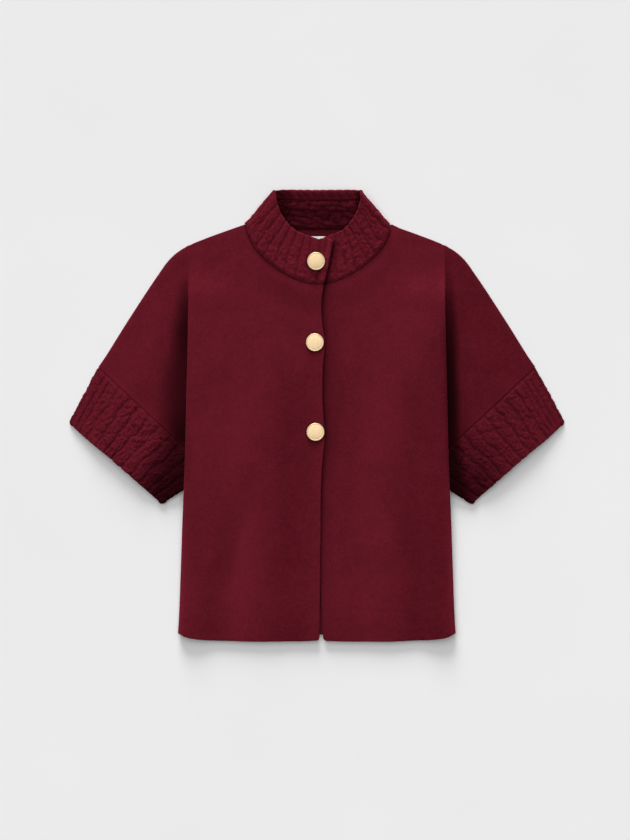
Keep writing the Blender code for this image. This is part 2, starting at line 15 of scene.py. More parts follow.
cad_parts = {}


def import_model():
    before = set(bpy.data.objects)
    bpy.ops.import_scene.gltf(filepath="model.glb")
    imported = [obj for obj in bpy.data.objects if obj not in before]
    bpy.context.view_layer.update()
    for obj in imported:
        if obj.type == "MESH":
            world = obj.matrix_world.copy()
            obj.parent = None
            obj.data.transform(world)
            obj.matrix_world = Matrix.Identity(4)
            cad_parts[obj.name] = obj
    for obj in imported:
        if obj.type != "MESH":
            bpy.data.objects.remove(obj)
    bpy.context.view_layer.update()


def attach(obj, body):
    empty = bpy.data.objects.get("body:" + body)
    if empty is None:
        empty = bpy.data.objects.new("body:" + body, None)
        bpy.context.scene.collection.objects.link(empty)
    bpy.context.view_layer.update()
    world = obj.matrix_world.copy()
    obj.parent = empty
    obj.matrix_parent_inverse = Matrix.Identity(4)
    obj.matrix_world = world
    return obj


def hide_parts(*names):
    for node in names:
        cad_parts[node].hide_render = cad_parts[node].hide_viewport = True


# ---------------------------------------------------------------- sizes
UNIT = 1.55
XC = 316.3
YC = 415.761
COLLAR_XC = 318.0
MM = 0.001

WOOL = 2.2
GAP = 0.6
PITCH = WOOL + GAP
QUILT = 3.0
COLLAR_WALL = 4.6
SEAM = 0.07            # half of the room left in a seam here, pattern units
STAGGER = 0.36         # how far the back's half of a cuff seam lies short of the front's, so that no light falls through

FOLD_R = PITCH / 2
SOFT_R = 2.0
APEX_Y = (258.0, 312.0)
UNDERARM_Y = 461.6
PLEAT_DEEP = 56.2
PLEAT_HEM = 6.0
SPREAD = 2.0
SIDE_REF = 200.0

SLEEVE_FALL = (0.0, 38.0)
SLEEVE_PUFF = 8.0
PUFF_IN = (8.0, 62.0)
PUFF_OUT = (0.0, 74.0)
BODY_FALL = (8.0, 88.0)
HEM_FALL = 46.0
CENTRE_RISE = (15.0, 45.0)
CUFF_EXTRA = 2 * (QUILT - WOOL)
NECK_FALL = 34.0

SIDE = (  # y, distance from the centre line
    (200, 127.6), (283, 127.8), (340, 128.6), (400, 130.0),
    (460, 131.4), (520, 133.9), (580, 136.1), (604, 137.0), (624, 138.0), (642, 139.4),
)
SLEEVE_LINE = (  # y, distance from the centre line
    (228.5, 83.0), (234, 98.5), (240, 114.5), (246, 128.7), (252, 138.7),
    (258, 145.6), (264, 150.8), (272, 156.4), (282, 163.3), (294, 171.3),
    (306, 179.1), (324, 190.7), (342, 201.9), (356, 210.6),
)
CUFF_SEAM = {"outer": (218.4, 367.2), "lower": (106.0, 472.1)}
CUFF_HEM = {"outer": (247.4, 421.9), "lower": (154.4, 504.1)}
NECK_FRONT = (  # distance from the collar's centre line, y
    (0.0, 284.8), (9.6, 283.9), (21.0, 280.6), (32.5, 275.2), (44.0, 267.8),
    (54.3, 259.0), (62.0, 250.2), (67.0, 242.3), (71.0, 233.0), (73.2, 224.5),
)
NECK_BACK = (  # distance from the collar's centre line, y
    (0.0, 230.6), (24.0, 230.0), (46.0, 228.4), (62.0, 226.6), (73.2, 224.5),
)
COLLAR_TOP = (  # distance from the collar's centre line, y of the front's top edge
    (0.0, 239.7), (2.5, 239.0), (5.0, 237.9), (8.0, 236.6), (12.5, 235.1), (18.0, 233.2), (22.6, 230.9),
    (29.4, 225.2), (34.5, 218.6), (38.8, 210.4), (41.2, 202.2), (42.2, 195.8),
)
COLLAR_STEPS = (0.0, 6.5, 12.5, 22.6, 29.4, 34.5, 38.8, 41.2, 42.2)
COLLAR_END = (  # y, x of the upper end of the collar
    (239.0, 332.9), (245.0, 332.2), (255.0, 330.5), (265.0, 328.2), (275.0, 326.0), (285.0, 323.6),
)
COLLAR_FOLD = {
    "right": {"base": (245.8, 222.6), "top": (273.3, 190.4)},
    "left": {"base": (387.6, 222.6), "top": (360.4, 190.4)},
}
COLLAR_BACK_TOP = 190.9
RIGHT_EDGE = (  # y, x
    (285.4, 323.2), (291, 322.5), (300, 321.2), (311, 320.9), (321, 321.5),
    (331, 322.7), (341, 324.3), (351, 324.0), (362, 322.8), (378, 322.0),
    (396, 321.9), (412, 322.7), (424, 323.4), (433, 324.4), (443, 324.0),
    (455, 322.7), (476, 321.0), (510, 320.2), (530, 320.2), (560, 319.6),
    (590, 319.5), (610, 319.3), (636, 319.0),
)
LEFT_EDGE = (  # y, x
    (285.4, 309.0), (330, 309.0), (440, 309.2), (500, 312.6), (560, 317.0),
    (610, 321.0), (636, 322.6),
)
HEM_FRONT = (  # distance from the centre line, y
    (0, 640.4), (40, 641.1), (70, 641.1), (84, 640.7), (105, 639.9), (118, 639.0),
    (126, 637.9), (132, 636.2),
)
HEM_SIDE_Y = 633.4
HEM_BACK_Y = {"centre": 634.6, "side": 630.5}
NECK_RISE = {  # distance from the collar's centre line, height
    "right": ((-14, 11.6), (0, 11.6), (14, 11.2), (35, 9.8), (55, 8.3), (66, 6.4), (73, 4.6)),
    "left": ((-9, 6.1), (0, 6.1), (14, 6.4), (35, 7.3), (55, 7.4), (66, 6.2), (73, 4.6)),
}
COLLAR_HEIGHT = {  # share of the way from the front end to the side fold, at the seam, at the top
    "right": ((0, 11.6, 16.4), (0.25, 11.0, 16.8), (0.5, 9.6, 18.6), (0.75, 8.6, 22.0), (1, 8.2, 25.5)),
    "left": ((0, 6.1, 10.2), (0.32, 6.7, 10.9), (0.55, 7.6, 15.4), (0.8, 8.2, 21.2), (1, 8.2, 25.5)),
}
NECK_SHADE = (  # height over the back's seam in mm, how shaded the collar's inner face is
    (0, 0.66), (4.5, 0.62), (7.9, 0.45), (11.3, 0.34), (14.7, 0.30), (18, 0.40), (23, 0.50), (28, 0.52), (31.7, 0.64),
    (35, 0.54), (38.5, 0.40), (42, 0.37), (45.4, 0.24), (49, 0.24), (52, 0.28), (55.6, 0.42), (59, 0.46), (63, 0.25), (67, 0.02),
)
BACK_PROP = {"centre": 24.5, "fold": 18.0}
SIDE_HEIGHT = ((461.6, 17.9), (474.0, 17.9), (622.0, 10.4), (642.0, 10.4))  # y, height
FOLDS = {  # crest x at the top and at the hem, y where it starts and is full, height there and at the hem, half width in mm
    "right": ((262.0, 264.0, 330.0, 440.0, 5.6, 1.2, 52.0),),
    "left": ((386.0, 389.0, 320.0, 430.0, 5.6, 1.2, 52.0),),
}
CREASES = (  # x, y at both ends, half width in mm, height in mm
    (291.0, 300.0, 308.5, 322.0, 5.0, 0.50),
    (305.0, 291.0, 310.5, 321.0, 4.5, 0.45),
    (298.0, 296.0, 309.5, 321.5, 4.0, -0.35),
    (316.0, 286.5, 316.0, 293.5, 3.2, -0.75),
    (300.0, 398.0, 309.0, 424.0, 5.0, 0.35),
    (323.0, 398.0, 321.0, 424.0, 4.5, -0.30),
    (229.0, 300.0, 214.0, 420.0, 13.0, 0.7),
    (404.0, 300.0, 417.0, 420.0, 13.0, 0.7),
)
BUTTON_AT = ((315.6, 261.9), (314.4, 342.6), (315.0, 432.0))
BUTTON_D = 27.9
HEM_LIFT = 4.2

RIM = 1.15             # how far a rim's rounding reaches in from the edge, mm
CELL = 3.6             # grid size of the plain cloth, mm
FINE = 1.15            # grid size of the textured cloth, mm


# ---------------------------------------------------------------- small maths
def smooth(t):
    t = np.clip(t, 0.0, 1.0)
    return t * t * (3 - 2 * t)


def line(rows, at, column=1):
    return np.interp(at, [r[0] for r in rows], [r[column] for r in rows])


def curve(rows, at, column=1):
    """A smooth curve through a table's rows that doesn't overshoot them."""
    x = np.array([r[0] for r in rows], float)
    v = np.array([r[column] for r in rows], float)
    d = np.diff(v) / np.diff(x)
    m = np.empty_like(v)
    m[0], m[-1] = d[0], d[-1]
    both = d[:-1] * d[1:]
    m[1:-1] = np.where(both > 0, 2 * both / np.where(both > 0, d[:-1] + d[1:], 1), 0)
    at = np.asarray(at, float)
    i = np.clip(np.searchsorted(x, at) - 1, 0, len(x) - 2)
    h = x[i + 1] - x[i]
    t = np.clip((at - x[i]) / h, 0, 1)
    return (v[i] * (1 + 2 * t) * (1 - t) ** 2 + m[i] * h * t * (1 - t) ** 2
            + v[i + 1] * t * t * (3 - 2 * t) + m[i + 1] * h * t * t * (t - 1))


def eased(rows, at, column=1):
    x = np.array([r[0] for r in rows], float)
    v = np.array([r[column] for r in rows], float)
    at = np.asarray(at, float)
    i = np.clip(np.searchsorted(x, at) - 1, 0, len(x) - 2)
    return v[i] + (v[i + 1] - v[i]) * smooth((at - x[i]) / (x[i + 1] - x[i]))


def noise(x, y, seed):
    """Smooth noise from -1 to 1 with one knot to each unit."""
    knots = np.random.default_rng(seed).uniform(-1, 1, (64, 64))
    x, y = np.asarray(x, float), np.asarray(y, float)
    i, j = np.floor(x).astype(int), np.floor(y).astype(int)
    fx, fy = x - i, y - j
    fx, fy = fx**3 * (fx * (fx * 6 - 15) + 10), fy**3 * (fy * (fy * 6 - 15) + 10)
    i0, i1, j0, j1 = i % 64, (i + 1) % 64, j % 64, (j + 1) % 64
    low = knots[i0, j0] * (1 - fx) + knots[i1, j0] * fx
    high = knots[i0, j1] * (1 - fx) + knots[i1, j1] * fx
    return low * (1 - fy) + high * fy


def world_mm(x, y, z):
    x, y, z = np.broadcast_arrays(x, y, z)
    return np.stack([(x - XC) * UNIT, (YC - y) * UNIT, z], axis=-1)


# ---------------------------------------------------------------- the garment's surfaces
def side_mm(y):
    return curve(SIDE, y) * UNIT


def turn(y):
    return np.pi * smooth((y - APEX_Y[0]) / (APEX_Y[1] - APEX_Y[0]))


def pleat_length(y):
    above = PLEAT_DEEP * np.maximum(0.0, (y - APEX_Y[1]) / (UNDERARM_Y - APEX_Y[1]))
    f = np.minimum(1.0, (y - UNDERARM_Y) / (HEM_SIDE_Y - UNDERARM_Y))
    return np.where(y <= UNDERARM_Y, above, PLEAT_DEEP + (PLEAT_HEM - PLEAT_DEEP) * f)


def outer_radius(is_front):
    return SOFT_R if is_front else FOLD_R


def inner_radius(y, is_front):
    extra = CUFF_EXTRA * smooth((y - 402.0) / 38.0) if is_front else 0.0
    return FOLD_R + extra / 2


def start_mm(y, is_front):
    return side_mm(y) - outer_radius(is_front) - WOOL / 2


def spread(y):
    return SPREAD * (1 - turn(y) / np.pi)


def path(c, y, is_front):
    phi, length = turn(y), pleat_length(y)
    r1, r2 = outer_radius(is_front), inner_radius(y, is_front)
    c1 = np.minimum(c, 1) * phi
    out, down = r1 * np.sin(c1), r1 * (1 - np.cos(c1))
    f = np.clip(c - 1, 0, 1)
    out, down = out + f * length * np.cos(phi), down + f * length * np.sin(phi)
    psi = phi * (3 - np.clip(c, 2, 3))
    out = out + np.where(c > 2, r2 * (np.sin(phi) - np.sin(psi)), 0)
    down = down + np.where(c > 2, r2 * (np.cos(psi) - np.cos(phi)), 0)
    return out + c * spread(y), down


def lift(a_mm, y):
    drop = path(3.0, y, False)[1]
    low, high = SLEEVE_FALL
    return drop * (1 - smooth((a_mm - side_mm(y) - low) / (high - low)))


def distance_to(points, a, y):
    """Least distance in mm from plan points to a line of (distance from the centre line, y) points."""
    least = np.full(np.broadcast(a, y).shape, 1e9)
    for (a0, y0), (a1, y1) in zip(points, points[1:]):
        da, dy = a1 - a0, y1 - y0
        f = np.clip(((a - a0) * da + (y - y0) * dy) / (da * da + dy * dy), 0, 1)
        least = np.minimum(least, np.hypot(a - a0 - f * da, y - y0 - f * dy))
    return least * UNIT


OUTER_LINE = [(d, h) for h, d in SLEEVE_LINE] + [CUFF_SEAM["outer"], CUFF_HEM["outer"]]
INNER_LINE = [(d, h) for h, d in SIDE[:4]] + [(131.6, 488.0), CUFF_HEM["lower"]]
SHOULDER = [(73.2, 224.5)] + [(d, h) for h, d in SLEEVE_LINE] + [CUFF_SEAM["outer"]]
CUFF_LINE = [CUFF_SEAM["outer"], CUFF_SEAM["lower"]]


def puff(a_mm, y):
    a = a_mm / UNIT
    near, far = PUFF_IN
    rise = smooth((distance_to(INNER_LINE, a, y) - near) / (far - near))
    near, far = PUFF_OUT
    rise = rise * smooth((distance_to(OUTER_LINE, a, y) - near) / (far - near))
    return np.where(a_mm > side_mm(y), SLEEVE_PUFF * rise, 0.0)


def ripple(a_mm, y, sign):
    """Small unevenness of the lying cloth, the same for every layer."""
    x = a_mm * sign
    return (0.34 * noise(x / 46 + 7, y * UNIT / 58 + 3, 11) + 0.16 * noise(x / 19 + 1, y * UNIT / 23 + 5, 12)
            + 0.05 * noise(x / 8, y * UNIT / 8, 13))


def pinch(a_mm, y):
    """How much the two layers are drawn together beside the shoulder seam."""
    return 1 - smooth(distance_to(SHOULDER, a_mm / UNIT, y) / 9.0)


def back_sleeve_z(a_mm, y):
    return WOOL / 2 + lift(a_mm, y)


def front_sleeve_z(a_mm, y, sign=1):
    z = back_sleeve_z(a_mm, y) + PITCH + puff(a_mm, y)
    drawn = pinch(a_mm, y)
    return z - 0.52 * drawn + (ripple(a_mm, y, sign) + 0.3) * (1 - drawn) * smooth((a_mm - side_mm(y)) / 20)


def front_edge_z(y):
    out, down = path(3.0, y, True)
    sleeve = front_sleeve_z(start_mm(y, True) + out, y) + down
    return np.where(y <= UNDERARM_Y, sleeve, eased(SIDE_HEIGHT, y))


def neck_distance(x, y):
    dx, dy = np.abs(x - COLLAR_XC) / 72.4, np.maximum(0.0, y - 223.4) / 61.3
    return (np.maximum(1e-6, dx**1.8 + dy**1.8) ** (1 / 1.8) - 1) * 66.0


def fold_rise(x, y, side):
    rise = 0.0
    for x_top, x_hem, y_start, y_full, h_full, h_hem, reach in FOLDS[side]:
        crest = x_top + (x_hem - x_top) * np.clip((y - y_start) / (640.0 - y_start), 0, 1)
        crest = crest + 3.0 * noise(y / 95.0, 0.5, 21 + len(side))
        height = h_full + (h_hem - h_full) * smooth((y - 540.0) / 95.0)
        t = (x - crest) * UNIT / reach
        rise = rise + height * smooth((y - y_start) / (y_full - y_start)) * np.maximum(0.0, 1 - t * t) ** 2
    return rise


def crease_rise(x, y):
    rise = 0.0
    for x0, y0, x1, y1, width, height in CREASES:
        dx, dy = x1 - x0, y1 - y0
        f = ((x - x0) * dx + (y - y0) * dy) / (dx * dx + dy * dy)
        g = np.clip(f, 0, 1)
        d = np.hypot(x - x0 - g * dx, y - y0 - g * dy) * UNIT
        rise = rise + height * np.exp(-((d / width) ** 2)) * (0.35 + 0.65 * np.sin(np.pi * g))
    return rise


def front_z(a_mm, y, side):
    sign = -1 if side == "right" else 1
    x = XC + sign * a_mm / UNIT
    base = WOOL / 2 + PITCH
    z = base + np.zeros(np.broadcast(a_mm, y).shape)
    if side == "right":
        low, high = CENTRE_RISE
        z = z + PITCH * (1 - smooth((a_mm - low) / (high - low))) * (1 - 0.75 * smooth((y - 592) / 46))
    full = start_mm(y, True) - pleat_length(y) - BODY_FALL[0]
    fall = BODY_FALL[1] - BODY_FALL[0]
    fall = fall + (HEM_FALL - fall) * smooth((y - 455.0) / 165.0)
    to_side = smooth((a_mm - full) / fall + 1)
    at_side = (front_edge_z(y) - base) * to_side
    # the hem hangs free of the back, at one height all along
    z = z + HEM_LIFT * smooth((y - 570.0) / 64.0)
    z = z + (np.maximum(0.0, at_side) ** 3 + fold_rise(x, y, side) ** 3) ** (1 / 3) + np.minimum(0.0, at_side)
    if side == "right":
        edge_x = curve(RIGHT_EDGE, y)
        z = z + 1.1 * np.exp(-(((x - edge_x) * UNIT / 9.0) ** 2)) * smooth((y - 286) / 14)
    near = 1 - smooth(neck_distance(x, y) / NECK_FALL)
    rise = curve(NECK_RISE[side], np.abs(x - COLLAR_XC) * np.where(sign * (x - COLLAR_XC) > 0, 1, -1))
    z = z + np.maximum(0.0, rise - z) * near
    drawn = pinch(a_mm, y)
    quiet = (1 - drawn) * smooth((start_mm(y, True) - a_mm) / 16)
    sunk = 0.75 * np.exp(-((neck_distance(x, y) / 4.2) ** 2))
    return z - 0.52 * drawn * (1 - to_side) - sunk + (ripple(a_mm, y, sign) + 0.3 + crease_rise(x, y)) * quiet


def front_place(side):
    sign = -1 if side == "right" else 1

    def place(c, y):
        a0 = start_mm(y, True)
        end, _ = path(3.0, y, True)
        out, down = path(np.clip(c, 0, 3), y, True)
        body, sleeve = a0 * (1 + c / SIDE_REF), a0 + end + (c - 3)
        a = np.where(c <= 0, body, np.where(c <= 3, a0 + out, sleeve))
        z = np.where(c <= 0, front_z(body, y, side),
                     np.where(c <= 3, front_edge_z(y) - down, front_sleeve_z(sleeve, y, sign)))
        return world_mm(XC + sign * a / UNIT, y, z)

    return place


def back_place(cc, y):
    sign, c = np.where(cc < 0, -1, 1), np.abs(cc) - SIDE_REF
    a0 = start_mm(y, False)
    end, _ = path(3.0, y, False)
    out, up = path(np.clip(c, 0, 3), y, False)
    body, sleeve = a0 * (1 + c / SIDE_REF), a0 + end + (c - 3)
    a = np.where(c <= 0, body, np.where(c <= 3, a0 + out, sleeve))
    z = np.where(c <= 0, WOOL / 2, np.where(c <= 3, WOOL / 2 + up, back_sleeve_z(sleeve, y)))
    return world_mm(XC + sign * a / UNIT, y, z)


def parameter(a, y, is_front, sleeve=None):
    a_mm, a0 = a * UNIT, float(start_mm(y, is_front))
    end = a0 + float(path(3.0, y, is_front)[0])
    if sleeve is None:
        sleeve = a_mm > end
        if not sleeve and a_mm > a0:
            return 3 * (a_mm - a0) / (end - a0)
    return 3 + a_mm - end if sleeve else (a_mm / a0 - 1) * SIDE_REF


# ---------------------------------------------------------------- outlines
def sleeve_outline(is_front, shift):
    lower, outer = Vector(CUFF_SEAM["lower"]), Vector(CUFF_SEAM["outer"])
    along = (outer - lower).normalized()
    inward = Vector((-abs(along.y), -abs(along.x))) * (SEAM if is_front else SEAM + STAGGER)
    points = [(2.0 + i / 8, UNDERARM_Y) for i in range(9)]
    first = parameter(lower.x + inward.x, lower.y + inward.y, is_front, True)
    for i in range(1, 8):
        f = i / 8
        points.append((3.0 + (first - 3.0) * f, UNDERARM_Y + (lower.y + inward.y - UNDERARM_Y) * f))
    for i in range(61):
        p = lower + (outer - lower) * i / 60 + inward
        points.append((parameter(p.x, p.y, is_front, True), p.y))
    for y in np.linspace(SLEEVE_LINE[-1][0], SLEEVE_LINE[0][0], 76):
        points.append((parameter(float(curve(SLEEVE_LINE, y)) - shift, float(y), is_front), float(y)))
    return points


def neck_points(rows, sign, grow, count):
    d = np.interp(np.linspace(0, len(rows) - 1, count), np.arange(len(rows)), [r[0] for r in rows])
    y = curve(rows, d)
    if rows is NECK_FRONT:
        y = np.where(d > 67.0, np.interp(d, [67.0, 71.0, 73.2], [242.3, 233.0, 224.5]), y)
    along = np.stack([np.gradient(d), np.gradient(y)], -1)
    along /= np.linalg.norm(along, axis=1)[:, None]
    normal = np.stack([-along[:, 1], along[:, 0]], -1)
    normal *= np.where(normal[:, 1] < 0, -1, 1)[:, None]
    return [(COLLAR_XC + sign * (p + n[0] * grow), q + n[1] * grow) for p, q, n in zip(d, y, normal)]


def front_outline(side):
    sign = -1 if side == "right" else 1
    edge = RIGHT_EDGE if side == "right" else LEFT_EDGE

    def c_of(x, y):
        return parameter(sign * (x - XC), y, True, False)

    points = [(c_of(x, y), y) for x, y in reversed(neck_points(NECK_FRONT, sign, SEAM, 64))]
    mirrored = [p for p in neck_points(NECK_FRONT, -sign, SEAM, 128)[1:] if sign * (p[0] - edge[0][1]) > 0.8]
    points += [(c_of(x, y), y) for x, y in mirrored]
    ys = np.linspace(edge[0][0], edge[-1][0], 190)
    points += [(c_of(float(curve(edge, y)), float(y)), float(y)) for y in ys]
    x = edge[-1][1]
    points += [(c_of(x + sign * dx, y), y) for dx, y in ((0.2, 637.8), (0.6, 638.9), (1.3, 639.6), (2.4, 640.0))]
    for a in np.linspace(9, 132, 66):
        y = float(curve(HEM_FRONT, a)) + 0.25 * float(noise(a / 14.0, 0.3, 31 + len(side)))
        points.append((c_of(XC + sign * a, y), y))
    points += [(0.0, HEM_SIDE_Y), (0.5, HEM_SIDE_Y - 0.1), (1.0, HEM_SIDE_Y - 0.3), (1.5, HEM_SIDE_Y - 0.6),
               (1.85, HEM_SIDE_Y - 0.9), (2.0, HEM_SIDE_Y - 1.4)]
    points += [(2.0, float(y)) for y in np.linspace(HEM_SIDE_Y - 4, UNDERARM_Y + 1.5, 60)]
    return points + sleeve_outline(True, 0.0)


def back_outline():
    half = []
    for x, y in neck_points(NECK_BACK, 1, SEAM, 40):
        half.append((SIDE_REF + parameter(x - XC, y, False, False), y))
    half += [(SIDE_REF + c, y) for c, y in reversed(sleeve_outline(False, 0.3))]
    side = HEM_BACK_Y["side"]
    half += [(SIDE_REF + 2.0, float(y)) for y in np.linspace(UNDERARM_Y + 1.5, side - 1.5, 60)]
    half += [(SIDE_REF + c, side) for c in (1.9, 1.5, 1.0, 0.5, 0.0)]
    for f in np.linspace(0.99, 0.02, 60):
        half.append((SIDE_REF * f, float(line(((0.0, HEM_BACK_Y["centre"]), (0.62, side + 3.2), (0.86, side + 1.6), (1.0, side)), f))))
    half.append((0.0, HEM_BACK_Y["centre"]))
    other = []
    for x, y in neck_points(NECK_BACK, -1, SEAM, 40)[1:]:
        other.append((-(SIDE_REF + parameter(XC - x, y, False, False)), y))
    other += [(-cc, y) for cc, y in half[40:-1]]
    return half + list(reversed(other))


# ---------------------------------------------------------------- a wall of cloth from an outline
def clip(points, axis, at, keep_above):
    """Cuts a polygon by one line of a grid."""
    made = []
    for i, q in enumerate(points):
        p = points[i - 1]
        p_in, q_in = (p[axis] >= at, q[axis] >= at) if keep_above else (p[axis] <= at, q[axis] <= at)
        if p_in != q_in:
            f = (at - p[axis]) / (q[axis] - p[axis])
            other = p[1 - axis] + (q[1 - axis] - p[1 - axis]) * f
            made.append((at, other) if axis == 0 else (other, at))
        if q_in:
            made.append(q)
    return made


def area_of(points):
    return 0.5 * sum(p[0] * q[1] - q[0] * p[1] for p, q in zip(points, points[1:] + points[:1]))


def grid_fill(polygon, columns, rows):
    """The polygon as cells of a grid: (plan points, faces)."""
    bm = bmesh.new()
    lookup = {}

    def vert(p):
        key = (round(p[0], 3), round(p[1], 3))
        if key not in lookup:
            lookup[key] = bm.verts.new((key[0], key[1], 0))
        return lookup[key]

    for y0, y1 in zip(rows, rows[1:]):
        strip = clip(clip(polygon, 1, y0, True), 1, y1, False)
        if len(strip) < 3:
            continue
        low = min(p[0] for p in strip)
        rest = strip
        for c0, c1 in zip(columns, columns[1:]):
            if c1 <= low:
                continue
            if len(rest) < 3:
                break
            cell = clip(rest, 0, c1, False)
            rest = clip(rest, 0, c1, True)
            if len(cell) < 3:
                continue
            verts = []
            for p in cell:
                v = vert(p)
                if not verts or (verts[-1] is not v):
                    verts.append(v)
            if verts[0] is verts[-1]:
                verts.pop()
            # spurs left along a grid line by the cuts
            going = True
            while going and len(verts) > 2:
                going = False
                for i in range(len(verts)):
                    if verts[i - 1] is verts[(i + 1) % len(verts)]:
                        drop = {i, (i + 1) % len(verts)}
                        verts = [v for j, v in enumerate(verts) if j not in drop]
                        going = True
                        break
            if len(verts) < 3 or len(set(verts)) < len(verts):
                continue
            if abs(area_of([(v.co.x, v.co.y) for v in verts])) < 1e-5:
                continue
            try:
                bm.faces.new(verts)
            except ValueError:
                pass
    for v in [v for v in bm.verts if not v.link_faces]:
        bm.verts.remove(v)
    bm.verts.index_update()
    points = np.array([(v.co.x, v.co.y) for v in bm.verts])
    faces = [[v.index for v in f.verts] for f in bm.faces]
    bm.free()
    return points, faces


def rim_loops(faces):
    """The border of a set of faces as closed loops of points."""
    once = {}
    for face in faces:
        for a, b in zip(face, face[1:] + face[:1]):
            if (b, a) in once:
                del once[(b, a)]
            else:
                once[(a, b)] = True
    after = {}
    for a, b in once:
        after.setdefault(a, []).append(b)
    loops = []
    while after:
        start = next(iter(after))
        loop = [start]
        while True:
            at = loop[-1]
            step = after[at].pop()
            if not after[at]:
                del after[at]
            if step == start:
                break
            loop.append(step)
            if step not in after:
                break
        loops.append(loop)
    return loops


def metric(place, c, y, eps=0.02):
    """The surface's derivatives at plan points."""
    dc = (place(c + eps, y) - place(c - eps, y)) / (2 * eps)
    dy = (place(c, y + eps) - place(c, y - eps)) / (2 * eps)
    return dc, dy


def cloth_wall(name, outline, place, columns, rows, wall, up_sign, relief=None, rim_of=None):
    """A closed wall of cloth with rounded rims, as a mesh object. up_sign turns the surface's normal up."""
    polygon = []
    for p in outline:
        if not polygon or math.hypot(p[0] - polygon[-1][0], p[1] - polygon[-1][1]) > 1e-4:
            polygon.append((float(p[0]), float(p[1])))
    if area_of(polygon) < 0:
        polygon.reverse()
    outer = np.array(polygon)
    after, before = np.roll(outer, -1, 0), np.roll(outer, 1, 0)
    dc, dy = metric(place, outer[:, 0], outer[:, 1])
    g11, g12, g22 = (dc * dc).sum(-1), (dc * dy).sum(-1), (dy * dy).sum(-1)
    det = np.maximum(g11 * g22 - g12 * g12, 1e-6)

    def inward(tangent):
        # the direction square to the edge on the real surface, of 1 mm
        n = np.stack([-tangent[:, 1], tangent[:, 0]], -1)
        n = np.stack([g22 * n[:, 0] - g12 * n[:, 1], g11 * n[:, 1] - g12 * n[:, 0]], -1) / det[:, None]
        size = np.sqrt(g11 * n[:, 0] ** 2 + 2 * g12 * n[:, 0] * n[:, 1] + g22 * n[:, 1] ** 2)
        return n / size[:, None]

    n1, n2 = inward(outer - before), inward(after - outer)
    both = n1 + n2
    dot = g11 * both[:, 0] * n1[:, 0] + g12 * (both[:, 0] * n1[:, 1] + both[:, 1] * n1[:, 0]) + g22 * both[:, 1] * n1[:, 1]
    reach = RIM if rim_of is None else rim_of(place(outer[:, 0], outer[:, 1]))[:, None]
    inner = outer + both / np.clip(dot, 0.6, None)[:, None] * reach
    points, faces = grid_fill([tuple(p) for p in inner], columns, rows)
    loops = rim_loops(faces)
    # a point that only one of two neighbouring cells has leaves a slit of no width
    faces += [list(reversed(loop)) for loop in loops if len(loop) < 6]
    loops = [loop for loop in loops if len(loop) >= 6]
    size = len(points)
    # the rim: rings from the inner line out to the edge
    seg_a, seg_b = inner, np.roll(inner, -1, 0)
    seg = seg_b - seg_a
    seg_len = np.maximum((seg * seg).sum(-1), 1e-12)
    plan, rings, depth = [points], [], [np.full(size, 1.0)]
    angles = (60, 36, 16, 0)
    for loop in loops:
        p = points[loop]
        f = np.clip(((p[:, None] - seg_a) * seg).sum(-1) / seg_len, 0, 1)
        d = np.linalg.norm(p[:, None] - (seg_a + f[..., None] * seg), axis=-1)
        k = d.argmin(1)
        f = f[np.arange(len(p)), k]
        q = outer[k] + (np.roll(outer, -1, 0)[k] - outer[k]) * f[:, None]
        made = [loop]
        for angle in angles:
            t = math.cos(math.radians(angle))
            made.append(list(range(size, size + len(loop))))
            plan.append(p + (q - p) * t)
            depth.append(np.full(len(loop), math.sin(math.radians(angle))))
            size += len(loop)
        rings.append(made)
    plan, depth = np.concatenate(plan), np.concatenate(depth)
    mid = place(plan[:, 0], plan[:, 1])
    dc, dy = metric(place, plan[:, 0], plan[:, 1])
    normal = np.cross(dc, dy) * up_sign
    normal /= np.maximum(np.linalg.norm(normal, axis=1), 1e-9)[:, None]
    raised = np.zeros(len(plan)) if relief is None else relief(mid, plan)
    top = mid + normal * (depth * (wall / 2 + raised))[:, None]
    low = mid - normal * (depth * wall / 2)[:, None]
    # one mesh: top points, then low points but for the shared edge
    shared = depth < 1e-6
    index_low = np.where(shared, np.arange(len(plan)), 0)
    index_low[~shared] = len(plan) + np.arange((~shared).sum())
    verts = np.concatenate([top, low[~shared]]) * MM
    every = [list(f) for f in faces]
    for made in rings:
        for near, far in zip(made, made[1:]):
            for i in range(len(near)):
                j = (i + 1) % len(near)
                every.append([near[j], near[i], far[i], far[j]])
    low_faces = [[int(index_low[v]) for v in reversed(f)] for f in every]
    obj = mesh_object(name, verts, every + low_faces)
    return obj, {"plan": np.concatenate([plan, plan[~shared]]), "mid": np.concatenate([mid, mid[~shared]]),
                 "loops": [len(x) for x in loops]}


def mesh_object(name, verts, faces, smooth_shade=True):
    verts = np.array(verts, float)
    verts[:, 2] = np.maximum(verts[:, 2], 0.00002)
    mesh = bpy.data.meshes.new(name)
    mesh.from_pydata([tuple(map(float, v)) for v in verts], [], faces)
    bm = bmesh.new()
    bm.from_mesh(mesh)
    bmesh.ops.triangulate(bm, faces=[f for f in bm.faces if len(f.verts) > 4])
    if bm.calc_volume(signed=True) < 0:
        bmesh.ops.reverse_faces(bm, faces=bm.faces[:])
    bm.to_mesh(mesh)
    bm.free()
    mesh.update()
    if smooth_shade:
        mesh.shade_smooth()
    obj = bpy.data.objects.new(name, mesh)
    bpy.context.scene.collection.objects.link(obj)
    return obj


def put_attribute(obj, name, values):
    attribute = obj.data.attributes.new(name, "FLOAT", "POINT")
    attribute.data.foreach_set("value", np.ascontiguousarray(values, np.float32))


